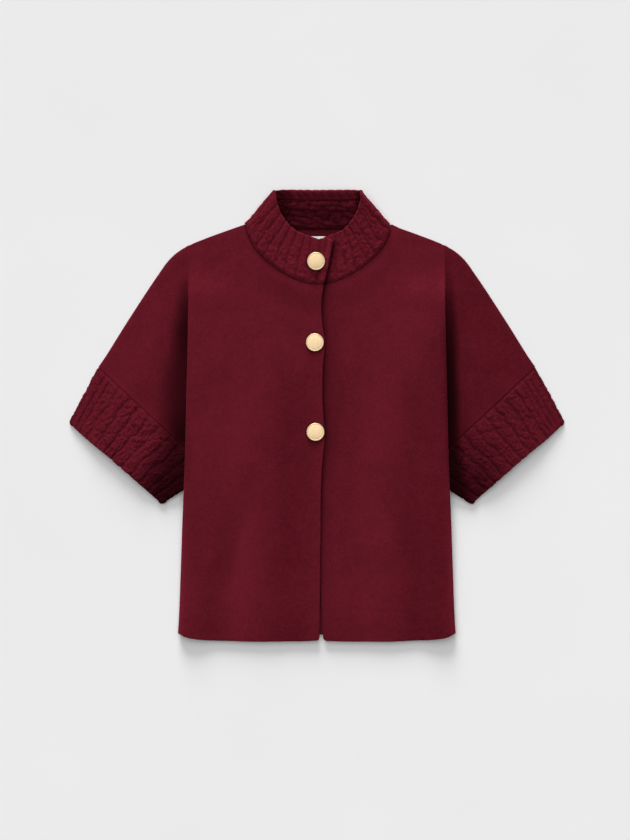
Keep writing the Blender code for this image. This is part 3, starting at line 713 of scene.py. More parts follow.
# ---------------------------------------------------------------- a wall of cloth from a grid
def grid_wall(name, mid, up, low, round_u, flip=False, hollow_shade=None):
    """mid is (u, v, 3) in mm. up and low are the offsets of the two faces, zero on free edges."""
    du = np.gradient(mid, axis=0) if not round_u else (np.roll(mid, -1, 0) - np.roll(mid, 1, 0)) / 2
    dv = np.gradient(mid, axis=1)
    normal = np.cross(du, dv)
    normal /= np.maximum(np.linalg.norm(normal, axis=-1), 1e-9)[..., None] * (-1 if flip else 1)
    count_u, count_v = mid.shape[:2]
    top, under = mid + normal * up[..., None], mid - normal * low[..., None]
    edge = np.zeros((count_u, count_v), bool)
    edge[:, 0] = edge[:, -1] = True
    if not round_u:
        edge[0] = edge[-1] = True
    index = np.arange(count_u * count_v).reshape(count_u, count_v)
    other = index.copy()
    other[~edge] = count_u * count_v + np.arange((~edge).sum())
    verts = np.concatenate([top.reshape(-1, 3), under[~edge]]) * MM
    i = np.arange(count_u if round_u else count_u - 1)
    j = (i + 1) % count_u
    faces = []
    for table_, flip in ((index, False), (other, True)):
        a, b, c, d = (table_[i][:, :-1], table_[j][:, :-1], table_[j][:, 1:], table_[i][:, 1:])
        quads = np.stack([a, d, c, b] if flip else [a, b, c, d], -1).reshape(-1, 4)
        faces += quads.tolist()
    obj = mesh_object(name, verts, faces)
    if hollow_shade is not None:
        put_attribute(obj, "hollow_shade", np.concatenate([hollow_shade[0].reshape(-1), hollow_shade[1][~edge]]))
    return obj, normal


def edge_wave(mid, height, at, reach, size):
    """Moves the last points of a grid along v by the relief there, so that the edge isn't a ruled line."""
    along = mid[:, -1] - mid[:, -6]
    along /= np.maximum(np.linalg.norm(along, axis=-1), 1e-9)[..., None]
    wave = height[:, at]
    wave = wave - wave.mean()
    weight = smooth((np.arange(mid.shape[1]) - (mid.shape[1] - reach)) / (reach - 1))
    return mid + along[:, None] * (size * wave[:, None] * weight[None, :])[..., None]


def rim_samples(length, step, rim=1.5):
    """Distances along a wall with its two rounded rims, and the rounding there."""
    rounded = [rim * (1 - math.cos(math.radians(a))) for a in (0, 22, 42, 62, 80)]
    inside = np.linspace(rim, length - rim, max(3, int(round((length - 2 * rim) / step)) + 1))
    at = np.concatenate([rounded, inside, [length - r for r in reversed(rounded)]])
    near = np.minimum(at, length - at)
    return at, np.sqrt(np.clip(1 - (1 - np.clip(near / rim, 0, 1)) ** 2, 0, 1))


# ---------------------------------------------------------------- relief of the textured cloth
def cable(u, v, pitch, length, seed, warp=2.8, hole=0.14, gap=0.50, swing=0.05):
    """Fat cables side by side, from 0 in the grooves to 1 on the strands. u runs across them and v along.

    Each cable is a flat-topped row of lumps with a shallow eye, parted here and there by the slanted
    crossings of its two strands, and the lumps of neighbouring cables are offset by half.
    """
    v0 = v
    u = u + warp * noise(u / 31, v / 31, seed) + 0.5 * warp * noise(u / 11, v / 11, seed + 1)
    v = v + 1.5 * warp * noise(u / 30 + 9, v0 / 30 + 5, seed + 2) + 0.6 * warp * noise(u / 12, v0 / 12 + 5, seed + 5)
    k = np.floor(u / pitch).astype(int)
    x = u / pitch - k - 0.5
    offset = np.random.default_rng(seed + 3).uniform(-0.18, 0.18, 128)[k % 128] + (k % 2) * 0.5
    size = np.random.default_rng(seed + 4).uniform(0.86, 1.16, 128)[k % 128]
    w = v / (length * size) + offset
    m = np.round(w)
    way = np.where((m + k) % 2 == 0, 1.0, -1.0)
    y = w - np.floor(w) - 0.5
    wide = 0.93 + 0.07 * np.cos(2 * np.pi * y)
    xs = (x - swing * np.sin(np.pi * w)) / wide
    body = np.clip(1 - np.abs(2.06 * xs) ** 4.0, 0, 1) ** 0.8
    body = 1 - (1 - body) * (0.90 + 0.20 * noise(u / 10.0, v / 10.0, seed + 7))
    some = np.clip(0.55 + 0.9 * noise(u / 13.0 + 5, v / 13.0, seed + 9), 0, 1)
    crossing = np.exp(-(((w - m - 0.55 * way * x) / 0.10) ** 2)) * some
    eye = np.exp(-((xs / 0.17) ** 2) - (y / 0.20) ** 2)
    h = body * (1 - gap * crossing) * (1 - hole * eye)
    # the yarn itself: fine strands that snake along the cable
    strands = noise((u + 4.2 * np.sin(np.pi * w + k)) / 2.5, v / 6.0, seed + 8)
    return h + (0.40 * strands + 0.38 * noise(u / 3.3, v / 3.3, seed + 6)) * (0.4 + 0.6 * body)


def ribs(u, v, pitch, seed, warp=1.6):
    """Plain ribs with low lumps along them."""
    u = u + warp * noise(u / 24, v / 30, seed)
    k = np.floor(u / pitch).astype(int)
    x = u / pitch - k - 0.5
    phase = np.random.default_rng(seed + 1).uniform(0, 1, 128)[k % 128]
    lump = 0.5 + 0.5 * np.cos(2 * np.pi * (v / 12.5 + phase + 0.25 * noise(u / 9, v / 9, seed + 2)))
    return np.clip(1 - (2.1 * np.abs(x)) ** 3.2, 0, 1) ** 0.8 * (0.74 + 0.26 * lump)


# painted shade: how much the low parts of a relief are darkened
def hollow_shade_of(h):
    return smooth((0.66 - h) / 0.60)


def lenses(u, v, wide, high, seed, warp=1.6):
    """Rows of long pads, each row shifted by half a pad."""
    u = u + warp * noise(u / 17, v / 17, seed)
    v = v + 0.8 * warp * noise(u / 15 + 4, v / 15, seed + 1)
    row = np.floor(v / high)
    y = v / high - row - 0.5
    u = u / wide + 0.5 * (row % 2)
    x = u - np.floor(u) - 0.5
    return np.clip(1.08 - (2 * np.abs(x)) ** 3.0 - (2 * np.abs(y)) ** 2.4, 0, 1) ** 0.6


# ---------------------------------------------------------------- cuffs
def cuff(name, sign):
    r = (QUILT + GAP) / 2
    inset = r + QUILT / 2
    wall = 2.3
    outer0, lower0 = np.array(CUFF_SEAM["outer"]), np.array(CUFF_SEAM["lower"])
    outer1, lower1 = np.array(CUFF_HEM["outer"]), np.array(CUFF_HEM["lower"])
    down = outer1 - outer0 + lower1 - lower0
    down /= np.linalg.norm(down)
    outer0, lower0 = outer0 + down * SEAM, lower0 + down * SEAM

    def away(fold, inside):
        n = np.array([-fold[1], fold[0]]) / np.linalg.norm(fold)
        return -n if n @ inside > 0 else n

    out_n, low_n = away(outer1 - outer0, lower0 - outer0), away(lower1 - lower0, outer0 - lower0)
    length = np.linalg.norm(outer1 - outer0 + lower1 - lower0) / 2 * UNIT
    v_mm, rim = rim_samples(length, FINE, 1.5)
    v = (v_mm / length)[None, :]

    def corner(radius):
        left = np.clip(radius - (length - v_mm), 0, radius)
        return ((radius - np.sqrt(radius**2 - left**2)) * 0.95 / UNIT)[:, None]

    # the turns are inset along the seam and the hem, so that both keep their lines
    o, l = outer0[None, :] + (outer1 - outer0)[None, :] * v.T, lower0[None, :] + (lower1 - lower0)[None, :] * v.T
    chord = (l - o) / np.linalg.norm(l - o, axis=1)[:, None]
    o = o + chord * (inset / UNIT + corner(6.0)) / np.abs(chord @ out_n)[:, None]
    l = l - chord * (inset / UNIT + corner(5.5)) / np.abs(chord @ low_n)[:, None]

    def bow(f):
        # the hem bows out a little beside the outer fold
        return down[None, :] * (1.3 * math.exp(-(((f - 0.13) / 0.18) ** 2)) * smooth((v.T - 0.6) / 0.4))

    def short(share):
        # the lower side's seam lies a little short of the upper one's
        return down[None, :] * (-STAGGER * share * (1 - smooth(v.T * length / 12.0)))

    across = np.linalg.norm(lower0 - outer0) * UNIT
    steps, bend = int(across / FINE), 7
    columns, u_mm, at = [], [], 0.0

    def add(p, over, x_mm):
        a_mm = p[:, 0] * UNIT
        z = lift(a_mm, p[:, 1]) + QUILT / 2 + over
        columns.append(world_mm(XC + sign * p[:, 0], p[:, 1], z))
        u_mm.append(x_mm)

    for i in range(steps + 1):
        f = i / steps
        p = o + (l - o) * f + bow(f)
        add(p, 2 * r + puff(p[:, 0] * UNIT, p[:, 1]), across * f)
    for i in range(1, bend):
        a = math.pi * i / bend
        add(l + low_n * (r * math.sin(a) / UNIT) + short(i / bend), r * (1 + math.cos(a)), across + r * a)
    for i in range(steps + 1):
        p = l + (o - l) * i / steps + bow(1 - i / steps) + short(1.0)
        add(p, 0.0, across + r * math.pi + across * i / steps)
    for i in range(1, bend):
        a = math.pi * i / bend
        p = o + bow(0.0) + out_n * (r * math.sin(a) / UNIT) + short(1 - i / bend)
        add(p, r * (1 - math.cos(a)), 2 * across + math.pi * r + r * a)
    mid, u_mm = np.stack(columns), np.array(u_mm)
    total = 2 * across + 2 * math.pi * r
    # beside the seam the cuff is as thin as the sleeve, and its upper side is level with it
    upper = np.zeros(len(u_mm))
    upper[: steps + 1] = 1
    upper[steps + 1: steps + bend] = 0.5
    upper[-(bend - 1):] = 0.5
    near = 1 - smooth(v_mm / 6.5)
    mid[..., 2] -= 0.9 * upper[:, None] * near[None, :]
    ripple_z = 0.45 * noise(u_mm[:, None] / 34, v_mm[None, :] / 40, 61 + (sign > 0))
    ends = smooth(np.minimum(u_mm, np.abs(across - u_mm)) / 14.0)
    mid[..., 2] += ripple_z * upper[:, None] * ends[:, None] * (1 - near[None, :])
    pitch = total / round(total / 22.4)
    # the columns are narrower beside the outer fold, where the knit is drawn round it
    extra = 1.0 if sign < 0 else 2.0
    packed = u_mm + pitch * extra * (smooth(u_mm / (17.0 + 17.0 * extra)) + smooth((u_mm - total) / (17.0 + 17.0 * extra) + 1) - 1)
    edge_near = np.minimum(u_mm, total - u_mm)
    calm = smooth((edge_near - 8.0) / (16.0 * extra + 10.0))
    seed = 71 if sign < 0 else 83
    across_v = (packed + 40 * pitch)[:, None] + 0 * v_mm[None, :]
    along_v = v_mm[None, :] + 0 * u_mm[:, None] + 4
    full = cable(across_v, along_v, pitch, 18.2, seed, 2.6)
    plain = ribs(across_v, along_v, pitch, seed + 20, 1.6)
    calm = (0.55 + 0.45 * calm)[:, None]
    h = full * calm + plain * (1 - calm)
    grain = noise(u_mm[:, None] / 2.6, v_mm[None, :] / 2.6, 67) * 0.10
    # knots of the strands stand out along the outer fold
    knots = noise(v_mm[None, :] / 2.7, u_mm[:, None] / 9 + 5, seed + 30) * np.exp(-((edge_near / 9.0) ** 2))[:, None]
    h = h + 0.42 * knots
    mid = edge_wave(mid, h, -7, 14, 0.9)
    # the underside lies on the floor, so its cables are pressed flat
    pressed = np.where(upper > 0.4, 1.0, 0.3)
    relief = (1.6 * h - 0.30 + grain) * pressed[:, None] * (0.1 + 0.9 * smooth((v_mm - 1.0) / 2.8))[None, :]
    up = rim[None, :] * (wall / 2 + relief)
    under = rim[None, :] * (wall / 2) * np.ones((len(u_mm), 1))
    # painted shade along the seam where the cuff meets the sleeve, fainter on the right cuff, and a light painted shade
    # over the inner face
    joined = (0.45 if sign < 0 else 1.0) * np.exp(-((v_mm / 1.9) ** 2))[None, :]
    obj, normal = grid_wall(name, mid, up, under, True, sign < 0, (np.maximum(hollow_shade_of(h), joined), 0.3 + 0 * h))
    return obj, up, normal


# ---------------------------------------------------------------- collar
def collar(name):
    height_mm = 68.0
    v_mm, rim_v = rim_samples(height_mm, FINE, 2.1)
    # sewn into the neck, the wall starts as thin as the cloth there
    rim_v = np.where(v_mm < height_mm / 2, np.sqrt(np.clip(1 - (1 - np.clip(v_mm / 0.8, 0, 1)) ** 2, 0, 1)), rim_v)
    sewn = smooth(v_mm / 6.5)
    v = v_mm / height_mm
    stations, kinds = [], []

    def height(side, f):
        return curve(COLLAR_HEIGHT[side], f, 1) * (1 - v) + curve(COLLAR_HEIGHT[side], f, 2) * v

    def prop(f):
        top_z = BACK_PROP["centre"] + (BACK_PROP["fold"] - BACK_PROP["centre"]) * f * f
        bow = 1.6 * np.sin(np.pi * v) * (1 - 0.6 * f * f)
        return COLLAR_WALL / 2 + (top_z - COLLAR_WALL / 2) * v + bow

    def neck(d0):
        if d0 > 67.0:
            return float(np.interp(d0, [67.0, 71.0, 73.2], [242.3, 233.0, 224.5]))
        return float(curve(NECK_FRONT, d0))

    def front(side):
        sign = -1 if side == "right" else 1
        made = []
        if side == "right":
            for e in np.linspace(0, 1, 13)[:-1]:
                low_d, high_d = -5.5 * (1 - e), -14.7 * (1 - e)
                low_y = float(np.interp(low_d, [-6, 0], [284.4, 284.8]))
                high_y = float(curve(((-15.2, 241.4), (-13.2, 240.2), (-8, 238.9), (-4, 239.1), (0, 239.7)), high_d))
                made.append((0.0, low_d + (high_d - low_d) * v - 0.8 * (1 - e) * np.sin(np.pi * v),
                             low_y - SEAM * 1.4 + (high_y - low_y) * v))
        else:
            for e in np.linspace(0, 1, 9)[:-1]:
                d = -9.0 * (1 - e)
                made.append((0.0, d + 0 * v, 284.4 - SEAM * 1.4 + (239.9 - 284.4) * v))
        steps = 96
        for i in range(steps):
            f = i / (steps - 1)
            d0 = float(np.interp(f * 0.96, np.linspace(0, 1, 10), [r[0] for r in NECK_FRONT]))
            y0 = neck(d0)
            d1 = float(np.interp(f * 0.97, np.linspace(0, 1, 9), COLLAR_STEPS))
            y1 = float(curve(COLLAR_TOP, d1))
            pull = Vector((-d0 / 72.0, -(y0 - 223.0) / 61.0)).normalized() * SEAM * 1.4
            made.append((f, d0 + pull.x + (d1 - d0 - pull.x) * v, y0 + pull.y + (y1 - y0 - pull.y) * v))
        return [(f, world_mm(COLLAR_XC + sign * d, y, height(side, f))) for f, d, y in made]

    def turn_round(side):
        sign = -1 if side == "right" else 1
        back_z = prop(1.0)
        r = (height(side, 1.0) - back_z) / 2
        base, top = (np.array(COLLAR_FOLD[side][end]) for end in ("base", "top"))
        fold = (top - base) / np.linalg.norm(top - base)
        out = np.array([-fold[1], fold[0]])
        if out[0] * sign < 0:
            out = -out
        at = base[None, :] + (top - base)[None, :] * v[:, None]
        # at the shoulder the fold runs out into the seam
        flare = 1 - smooth(v_mm / 9.0)
        at = at + np.stack([2.6 * sign * flare, 0.5 * flare], -1)
        at = at - out[None, :] * ((r * 0.9 + COLLAR_WALL / 2) / UNIT)[:, None]
        made = []
        for i in range(1, 10):
            a = math.pi * i / 10
            p = at + out[None, :] * (r * 0.9 * math.sin(a) / UNIT)[:, None]
            made.append((1.0, world_mm(p[:, 0], p[:, 1], back_z + r * (1 + math.cos(a)))))
        return made

    def back_half():
        made = []
        steps = 140
        for i in range(steps):
            f = -1 + 2 * i / (steps - 1)
            d0 = 66.5 * f
            y0 = float(curve(NECK_BACK, abs(d0))) - SEAM * 1.4
            key = "right" if f < 0 else "left"
            low_x, high_x = COLLAR_FOLD[key]["base"][0], COLLAR_FOLD[key]["top"][0]
            x0 = XC + (low_x - XC) * abs(f) * 0.91
            x1 = XC + (high_x - XC) * abs(f) * 0.86
            y1 = COLLAR_BACK_TOP + 0.7 * (1 - abs(f))
            made.append((abs(f), world_mm(x0 + (x1 - x0) * v, y0 + (y1 - y0) * v, prop(abs(f)))))
        return made

    parts = (("right", front("right")), ("turn", turn_round("right")), ("back", back_half()),
             ("turn", list(reversed(turn_round("left")))), ("left", list(reversed(front("left")))))
    for kind, made in parts:
        for f, p in made:
            stations.append(p)
            kinds.append(kind)
    mid = np.stack(stations)
    kinds = np.array(kinds)
    for _ in range(5):
        mid[1:-1] = mid[1:-1] * 0.5 + (mid[:-2] + mid[2:]) * 0.25
    # even distances at the ends so that the rounding there is even
    step = np.linalg.norm(np.diff(mid, axis=0), axis=-1)
    u = np.concatenate([np.zeros((1, len(v))), np.cumsum(step, axis=0)])
    end = np.minimum(u, u[-1:] - u)
    rim_u = np.sqrt(np.clip(1 - (1 - np.clip(end / 2.1, 0, 1)) ** 2, 0, 1))
    rim_u[0] = rim_u[-1] = 0
    rim = rim_u * rim_v[None, :]
    seam_u = u[:, :1]
    centre_right = seam_u[12, 0]
    centre_left = seam_u[-9, 0]
    vv = v_mm[None, :] + 0 * u
    is_front_right, is_front_left = (kinds == "right")[:, None], (kinds == "left")[:, None]
    is_back = (kinds == "back")[:, None]
    length = abs(seam_u[kinds == "turn"][0, 0] - centre_right)
    # right front: radial ribs with small lumps
    uc = (seam_u + 0 * vv - centre_right)
    pitch = length / 8
    plain = ribs(uc + 1000 * pitch, vv, pitch, 91)
    braid = cable(uc + 1000 * pitch, vv * 0.9 + 5, pitch, 15.5, 95, 2.6)
    share = 0.85 * smooth((vv - 26 + 8 * noise(uc / 26, vv / 30, 97)) / 26)
    crumple = 0.20 * noise(uc / 3.9, vv / 3.9, 98) + 0.16 * noise(uc / 7.0, vv / 7.0, 99)
    radial = (plain + crumple) * share + braid * (1 - share)
    x_px, y_px = mid[..., 0] / UNIT + XC, YC - mid[..., 1] / UNIT
    radial = radial - 0.8 * np.exp(-(((x_px - 316.4) / 1.3) ** 2)) * smooth((y_px - 269.0) / 3.0) * smooth((282.0 - y_px) / 3.0)
    swirl = cable((centre_left - seam_u + 0 * vv) + 1000 * pitch, vv + 3, pitch * 0.98, 16.5, 103, 5.0)
    xb = mid[..., 0]
    # the back's inner face: slanted ropes along the top edge, a groove, then long pads
    pads = lenses(xb + 900, vv + 0.10 * xb, 20.0, 10.6, 113, 6.5) * (0.78 + 0.30 * noise(xb / 9, vv / 7, 115))
    pads = pads + 0.24 * noise(xb / 4.2, vv / 3.6, 116)
    slant = (xb + 0.62 * (vv - 50) + 2.4 * noise(xb / 16, vv / 14, 117)) / 13.0
    rope = np.sqrt(np.clip(1 - (2 * (slant - np.floor(slant) - 0.5)) ** 2, 0, 1))
    band = smooth((vv - 50.5) / 1.5)
    groove = np.exp(-(((vv - 50.0 - 0.8 * noise(xb / 30, 0.5, 119)) / 1.5) ** 2))
    inner_back = (pads * 1.15 * (1 - band) + (0.35 + rope) * 0.95 * band) * (1 - 0.9 * groove)
    outer_back = cable(xb + 1000, vv, 19.5, 17.0, 127, 3.0)
    # the patterns melt into each other over the side folds
    first, last = np.where(kinds == "turn")[0][[0, -1]]
    middle = len(kinds) // 2

    def share_of(edges):
        away = np.minimum(np.abs(np.arange(len(kinds)) - edges[0]), np.abs(np.arange(len(kinds)) - edges[1]))
        return smooth(away / 9.0)[:, None]

    to_left = (np.arange(len(kinds)) > middle)[:, None]
    fronts = np.where(to_left, swirl, radial)
    outer = np.where(is_back, outer_back, fronts) * (0.8 + 0.2 * share_of((first + 5, last - 5)))
    inner = np.where(is_back, inner_back * share_of((first, last)), 0.55 * fronts)
    mid = edge_wave(mid, np.where(is_back, inner_back, fronts), -8, 12, 0.9)
    seam_fade = 0.12 + 0.88 * smooth((v_mm - 0.8) / 6.0)[None, :]
    base = 1.1 + 0.65 * sewn[None, :]
    grain = noise(u / 2.6, vv / 2.6, 137) * 0.09
    up = rim * (base + (1.4 * outer - 0.20 + grain) * seam_fade)
    low = rim * (base + (1.8 * inner - 0.45 + grain) * seam_fade)
    upward = np.cross(np.gradient(mid, axis=0), np.gradient(mid, axis=1))[40, 20, 2] > 0
    obj, normal = grid_wall(name, mid, up, low, False, not upward, (hollow_shade_of(outer), 1.5 * hollow_shade_of(inner)))
    # little light falls into the neck
    f = np.abs(mid[..., 0] / UNIT + XC - COLLAR_XC) / 42.0
    right_side = mid[..., 0] / UNIT + XC < COLLAR_XC
    corner = np.where(right_side, 0.65 * smooth((f - 0.52) / 0.33), 0.70 * smooth((f - 0.80) / 0.18))
    deep = 1 - (1 - curve(NECK_SHADE, vv)) * (1 - corner)
    # painted shade on the inner faces: on the back by height and nearness to the corners, on the fronts evenly
    dark = np.where(is_back | (kinds == "turn")[:, None], deep, 0.75)
    edge = (np.arange(mid.shape[0]) % (mid.shape[0] - 1) == 0)[:, None] | (np.arange(mid.shape[1]) % (mid.shape[1] - 1) == 0)[None, :]
    # and the lower end of the collar lies in the shade of the upper one
    xp, yp = mid[..., 0] / UNIT + XC, YC - mid[..., 1] / UNIT
    past = xp - curve(COLLAR_END, yp)
    on_left = (np.arange(len(kinds)) > middle)[:, None] & ~is_back
    beside = (0.58 * np.exp(-((np.maximum(past, 0) / 3.5) ** 2)) + 0.24 * np.exp(-((past / 9.0) ** 2))) * smooth((yp - 239.5) / 4.0)
    beside = np.where(on_left, beside, 0.0)
    # painted shade along the neck seam as well
    to_fold = 1 - 0.7 * smooth((np.abs(xp - COLLAR_XC) - 56.0) / 10.0)
    beside = 1 - (1 - beside) * (1 - 0.34 * to_fold * np.exp(-((vv / 3.6) ** 2)))
    # the upper end is rolled: a painted highlight along the roll and painted shade in the dip behind it
    roll = 0.30 * np.exp(-(((past + 4.0) / 1.8) ** 2)) - 0.34 * np.exp(-(((past + 7.6) / 1.7) ** 2)) * smooth((256.0 - yp) / 10.0)
    roll = np.where(~on_left & ~is_back & (past > -14), roll, 0.0)
    put_attribute(obj, "painted_light", np.concatenate([roll.reshape(-1), 0 * dark[~edge]]))
    put_attribute(obj, "shade", np.concatenate([beside.reshape(-1), dark[~edge]]))
    return obj


# ---------------------------------------------------------------- trims
def ribbon(name, x0, x1, y_of, wide, z0, wall, step=0.8):
    """A flat woven band with fine ribs across it."""
    xs = np.arange(x0, x1 + 1e-6, step / UNIT)
    w_mm, rim = rim_samples(wide, 0.9, 0.35)
    rib = 0.06 * np.cos(2 * np.pi * xs * UNIT / 2.4)[:, None] * np.ones(len(w_mm))[None, :]
    mid = world_mm(xs[:, None] + 0 * w_mm[None, :], y_of(xs)[:, None] + w_mm[None, :] / UNIT, z0 + 0 * xs[:, None] + 0 * w_mm[None, :])
    mid[..., 2] += 0.12 * noise(xs[:, None] / 9, w_mm[None, :] / 9, 131)
    rim_all = np.ones((len(xs), 1)) * rim[None, :]
    rim_all[0] = rim_all[-1] = 0
    up = rim_all * (wall / 2 + rib)
    return grid_wall(name, mid, up, rim_all * wall / 2, False)[0]


def lathe(name, profile, count, place_matrix):
    """A closed turned solid: profile runs from the top centre to the bottom centre."""
    verts, faces = [], []
    n = len(profile) - 2
    verts.append((0, 0, profile[0][1]))
    for r, z in profile[1:-1]:
        for i in range(count):
            a = 2 * math.pi * i / count
            verts.append((r * math.cos(a), r * math.sin(a), z))
    verts.append((0, 0, profile[-1][1]))
    last = len(verts) - 1
    for i in range(count):
        j = (i + 1) % count
        faces.append([0, 1 + i, 1 + j])
        for k in range(n - 1):
            a, b = 1 + k * count, 1 + (k + 1) * count
            faces.append([a + i, b + i, b + j, a + j])
        a = 1 + (n - 1) * count
        faces.append([a + j, a + i, last])
    obj = mesh_object(name, np.array(verts) * MM, faces)
    obj.data.transform(place_matrix)
    return obj


def button(name, x, y, z, tilt):
    """A cast cap: a shallow dome, a faint step and a rolled bright rim, on a post."""
    r = BUTTON_D / 2
    profile = [(0.0, 4.75)]
    for i in range(1, 15):
        f = i / 14 * 0.80
        profile.append((f * r, 4.75 - 0.62 * (f / 0.80) ** 2))
    profile += [(0.825 * r, 4.02), (0.845 * r, 4.00), (0.865 * r, 4.08)]
    for i in range(0, 13):
        a = math.radians(112 - i * 15)
        profile.append(((0.915 + 0.085 * math.cos(a)) * r, 3.10 + 1.15 * math.sin(a)))
    profile += [(0.86 * r, 1.55), (0.72 * r, 1.45), (0.40 * r, 1.4), (0.36 * r, 1.3), (0.36 * r, 0.05), (0.30 * r, 0.0), (0.0, 0.0)]
    place = Matrix.Translation(Vector(world_mm(x, y, z).tolist()) * MM) @ Matrix.Rotation(tilt, 4, "X")
    return lathe(name, profile, 96, place)


# ---------------------------------------------------------------- materials
def nodes_of(name):
    made = bpy.data.materials.new(name)
    made.use_nodes = True
    tree = made.node_tree
    return made, tree, tree.nodes["Principled BSDF"]


def add(tree, kind, **values):
    node = tree.nodes.new(kind)
    for key, value in values.items():
        if hasattr(node, key):
            setattr(node, key, value)
        else:
            node.inputs[key].default_value = value
    return node


def noise_node(tree, where, scale, detail=3.0, rough=0.55, distortion=0.0):
    node = tree.nodes.new("ShaderNodeTexNoise")
    node.inputs["Scale"].default_value = scale
    node.inputs["Detail"].default_value = detail
    node.inputs["Roughness"].default_value = rough
    node.inputs["Distortion"].default_value = distortion
    tree.links.new(where, node.inputs["Vector"])
    return node.outputs["Fac"]


def spread_node(tree, value, low, high, to_low, to_high):
    node = tree.nodes.new("ShaderNodeMapRange")
    node.inputs["From Min"].default_value, node.inputs["From Max"].default_value = low, high
    node.inputs["To Min"].default_value, node.inputs["To Max"].default_value = to_low, to_high
    tree.links.new(value, node.inputs["Value"])
    return node.outputs["Result"]


def maths(tree, operation, a, b):
    node = tree.nodes.new("ShaderNodeMath")
    node.operation = operation
    for i, v in enumerate((a, b)):
        if isinstance(v, (int, float)):
            node.inputs[i].default_value = v
        else:
            tree.links.new(v, node.inputs[i])
    return node.outputs[0]


def mix_colour(tree, factor, a, b, blend="MIX"):
    node = tree.nodes.new("ShaderNodeMix")
    node.data_type = "RGBA"
    node.blend_type = blend
    sockets = [s for s in node.inputs if s.type == "RGBA"]
    if isinstance(factor, (int, float)):
        node.inputs[0].default_value = factor
    else:
        tree.links.new(factor, node.inputs[0])
    for socket, v in zip(sockets, (a, b)):
        if isinstance(v, tuple):
            socket.default_value = v
        else:
            tree.links.new(v, socket)
    return [s for s in node.outputs if s.type == "RGBA"][0]


def felt(name, colour, sheen=0.25, shade=0.0, knit=False, painted_light=False, button_shadows=()):
    """Felted wool: speckle, cloudy mottling, fibre bump and a soft sheen.

    shade is how strongly the painted shade attribute darkens the colour, knit adds loop speckle and
    paints shade into the hollows of the relief, the painted light attribute adds painted light and
    shade along the broad folds, edges and seams, and each listed button gets a painted shadow ring.
    """
    made, tree, shader = nodes_of(name)
    where = add(tree, "ShaderNodeTexCoord").outputs["Object"]
    fine = noise_node(tree, where, 430.0, 3.0, 0.6, 0.4)
    cloud = noise_node(tree, where, 34.0, 2.0, 0.5)
    middle = noise_node(tree, where, 125.0, 2.0, 0.5)
    fibre = noise_node(tree, where, 1500.0, 4.0, 0.7, 1.6)
    tone = maths(tree, "ADD", spread_node(tree, fine, 0.25, 0.75, -0.26, 0.26), spread_node(tree, cloud, 0.3, 0.7, -0.06, 0.06))
    tone = maths(tree, "ADD", tone, spread_node(tree, middle, 0.3, 0.7, -0.06, 0.06))
    tone = maths(tree, "ADD", tone, spread_node(tree, fibre, 0.3, 0.7, -0.12, 0.12))
    if knit:
        loops = noise_node(tree, where, 300.0, 2.0, 0.6, 0.8)
        tone = maths(tree, "ADD", tone, spread_node(tree, loops, 0.3, 0.7, -0.26, 0.26))
    # painted light and shade from the attribute, added to the tone
    if painted_light:
        painted_light_tone = add(tree, "ShaderNodeAttribute", attribute_name="painted_light")
        tone = maths(tree, "ADD", tone, painted_light_tone.outputs["Fac"])
    dark = tuple(c * k for c, k in zip(colour, (0.60, 0.52, 0.54))) + (1.0,)
    light = tuple(c * k for c, k in zip(colour, (1.40, 1.50, 1.48))) + (1.0,)
    base = mix_colour(tree, maths(tree, "ADD", tone, 0.5), dark, light)
    # painted shade in the hollows of the relief
    if knit:
        hollow_shade = add(tree, "ShaderNodeAttribute", attribute_name="hollow_shade")
        base = mix_colour(tree, maths(tree, "MULTIPLY", hollow_shade.outputs["Fac"], 0.36), base, tuple(c * 0.2 for c in colour) + (1.0,))
    # painted shade: the attribute mixes the colour towards near black
    if shade:
        attribute = add(tree, "ShaderNodeAttribute", attribute_name="shade")
        factor = maths(tree, "MULTIPLY", attribute.outputs["Fac"], shade)
        base = mix_colour(tree, factor, base, tuple(c * 0.03 for c in colour) + (1.0,))
    # a painted shadow ring round each button
    for x, y in button_shadows:
        flat = add(tree, "ShaderNodeVectorMath", operation="MULTIPLY")
        tree.links.new(where, flat.inputs[0])
        flat.inputs[1].default_value = (1.0, 1.0, 0.0)
        far = add(tree, "ShaderNodeVectorMath", operation="DISTANCE")
        tree.links.new(flat.outputs[0], far.inputs[0])
        far.inputs[1].default_value = ((x - XC) * UNIT * MM, (YC - y) * UNIT * MM, 0.0)
        ring = spread_node(tree, far.outputs["Value"], (BUTTON_D / 2 + 0.2) * MM, (BUTTON_D / 2 + 2.4) * MM, 0.62, 0.0)
        base = mix_colour(tree, ring, base, tuple(c * 0.10 for c in colour) + (1.0,))
    tree.links.new(base, shader.inputs["Base Color"])
    rough = spread_node(tree, fine, 0.3, 0.7, 0.86, 1.0)
    tree.links.new(rough, shader.inputs["Roughness"])
    shader.inputs["Specular IOR Level"].default_value = 0.05
    shader.inputs["Specular Tint"].default_value = (0.9, 0.25, 0.32, 1.0)
    shader.inputs["Sheen Weight"].default_value = sheen
    shader.inputs["Sheen Roughness"].default_value = 0.45
    shader.inputs["Sheen Tint"].default_value = (0.80, 0.085, 0.16, 1.0)
    height = maths(tree, "ADD", maths(tree, "MULTIPLY", fine, 0.6), maths(tree, "MULTIPLY", fibre, 0.5))
    height = maths(tree, "ADD", height, maths(tree, "MULTIPLY", middle, 0.5))
    bump = tree.nodes.new("ShaderNodeBump")
    bump.inputs["Strength"].default_value = 0.55
    bump.inputs["Distance"].default_value = 0.0006
    tree.links.new(height, bump.inputs["Height"])
    tree.links.new(bump.outputs["Normal"], shader.inputs["Normal"])
    made.diffuse_color = tuple(colour) + (1.0,)
    return made


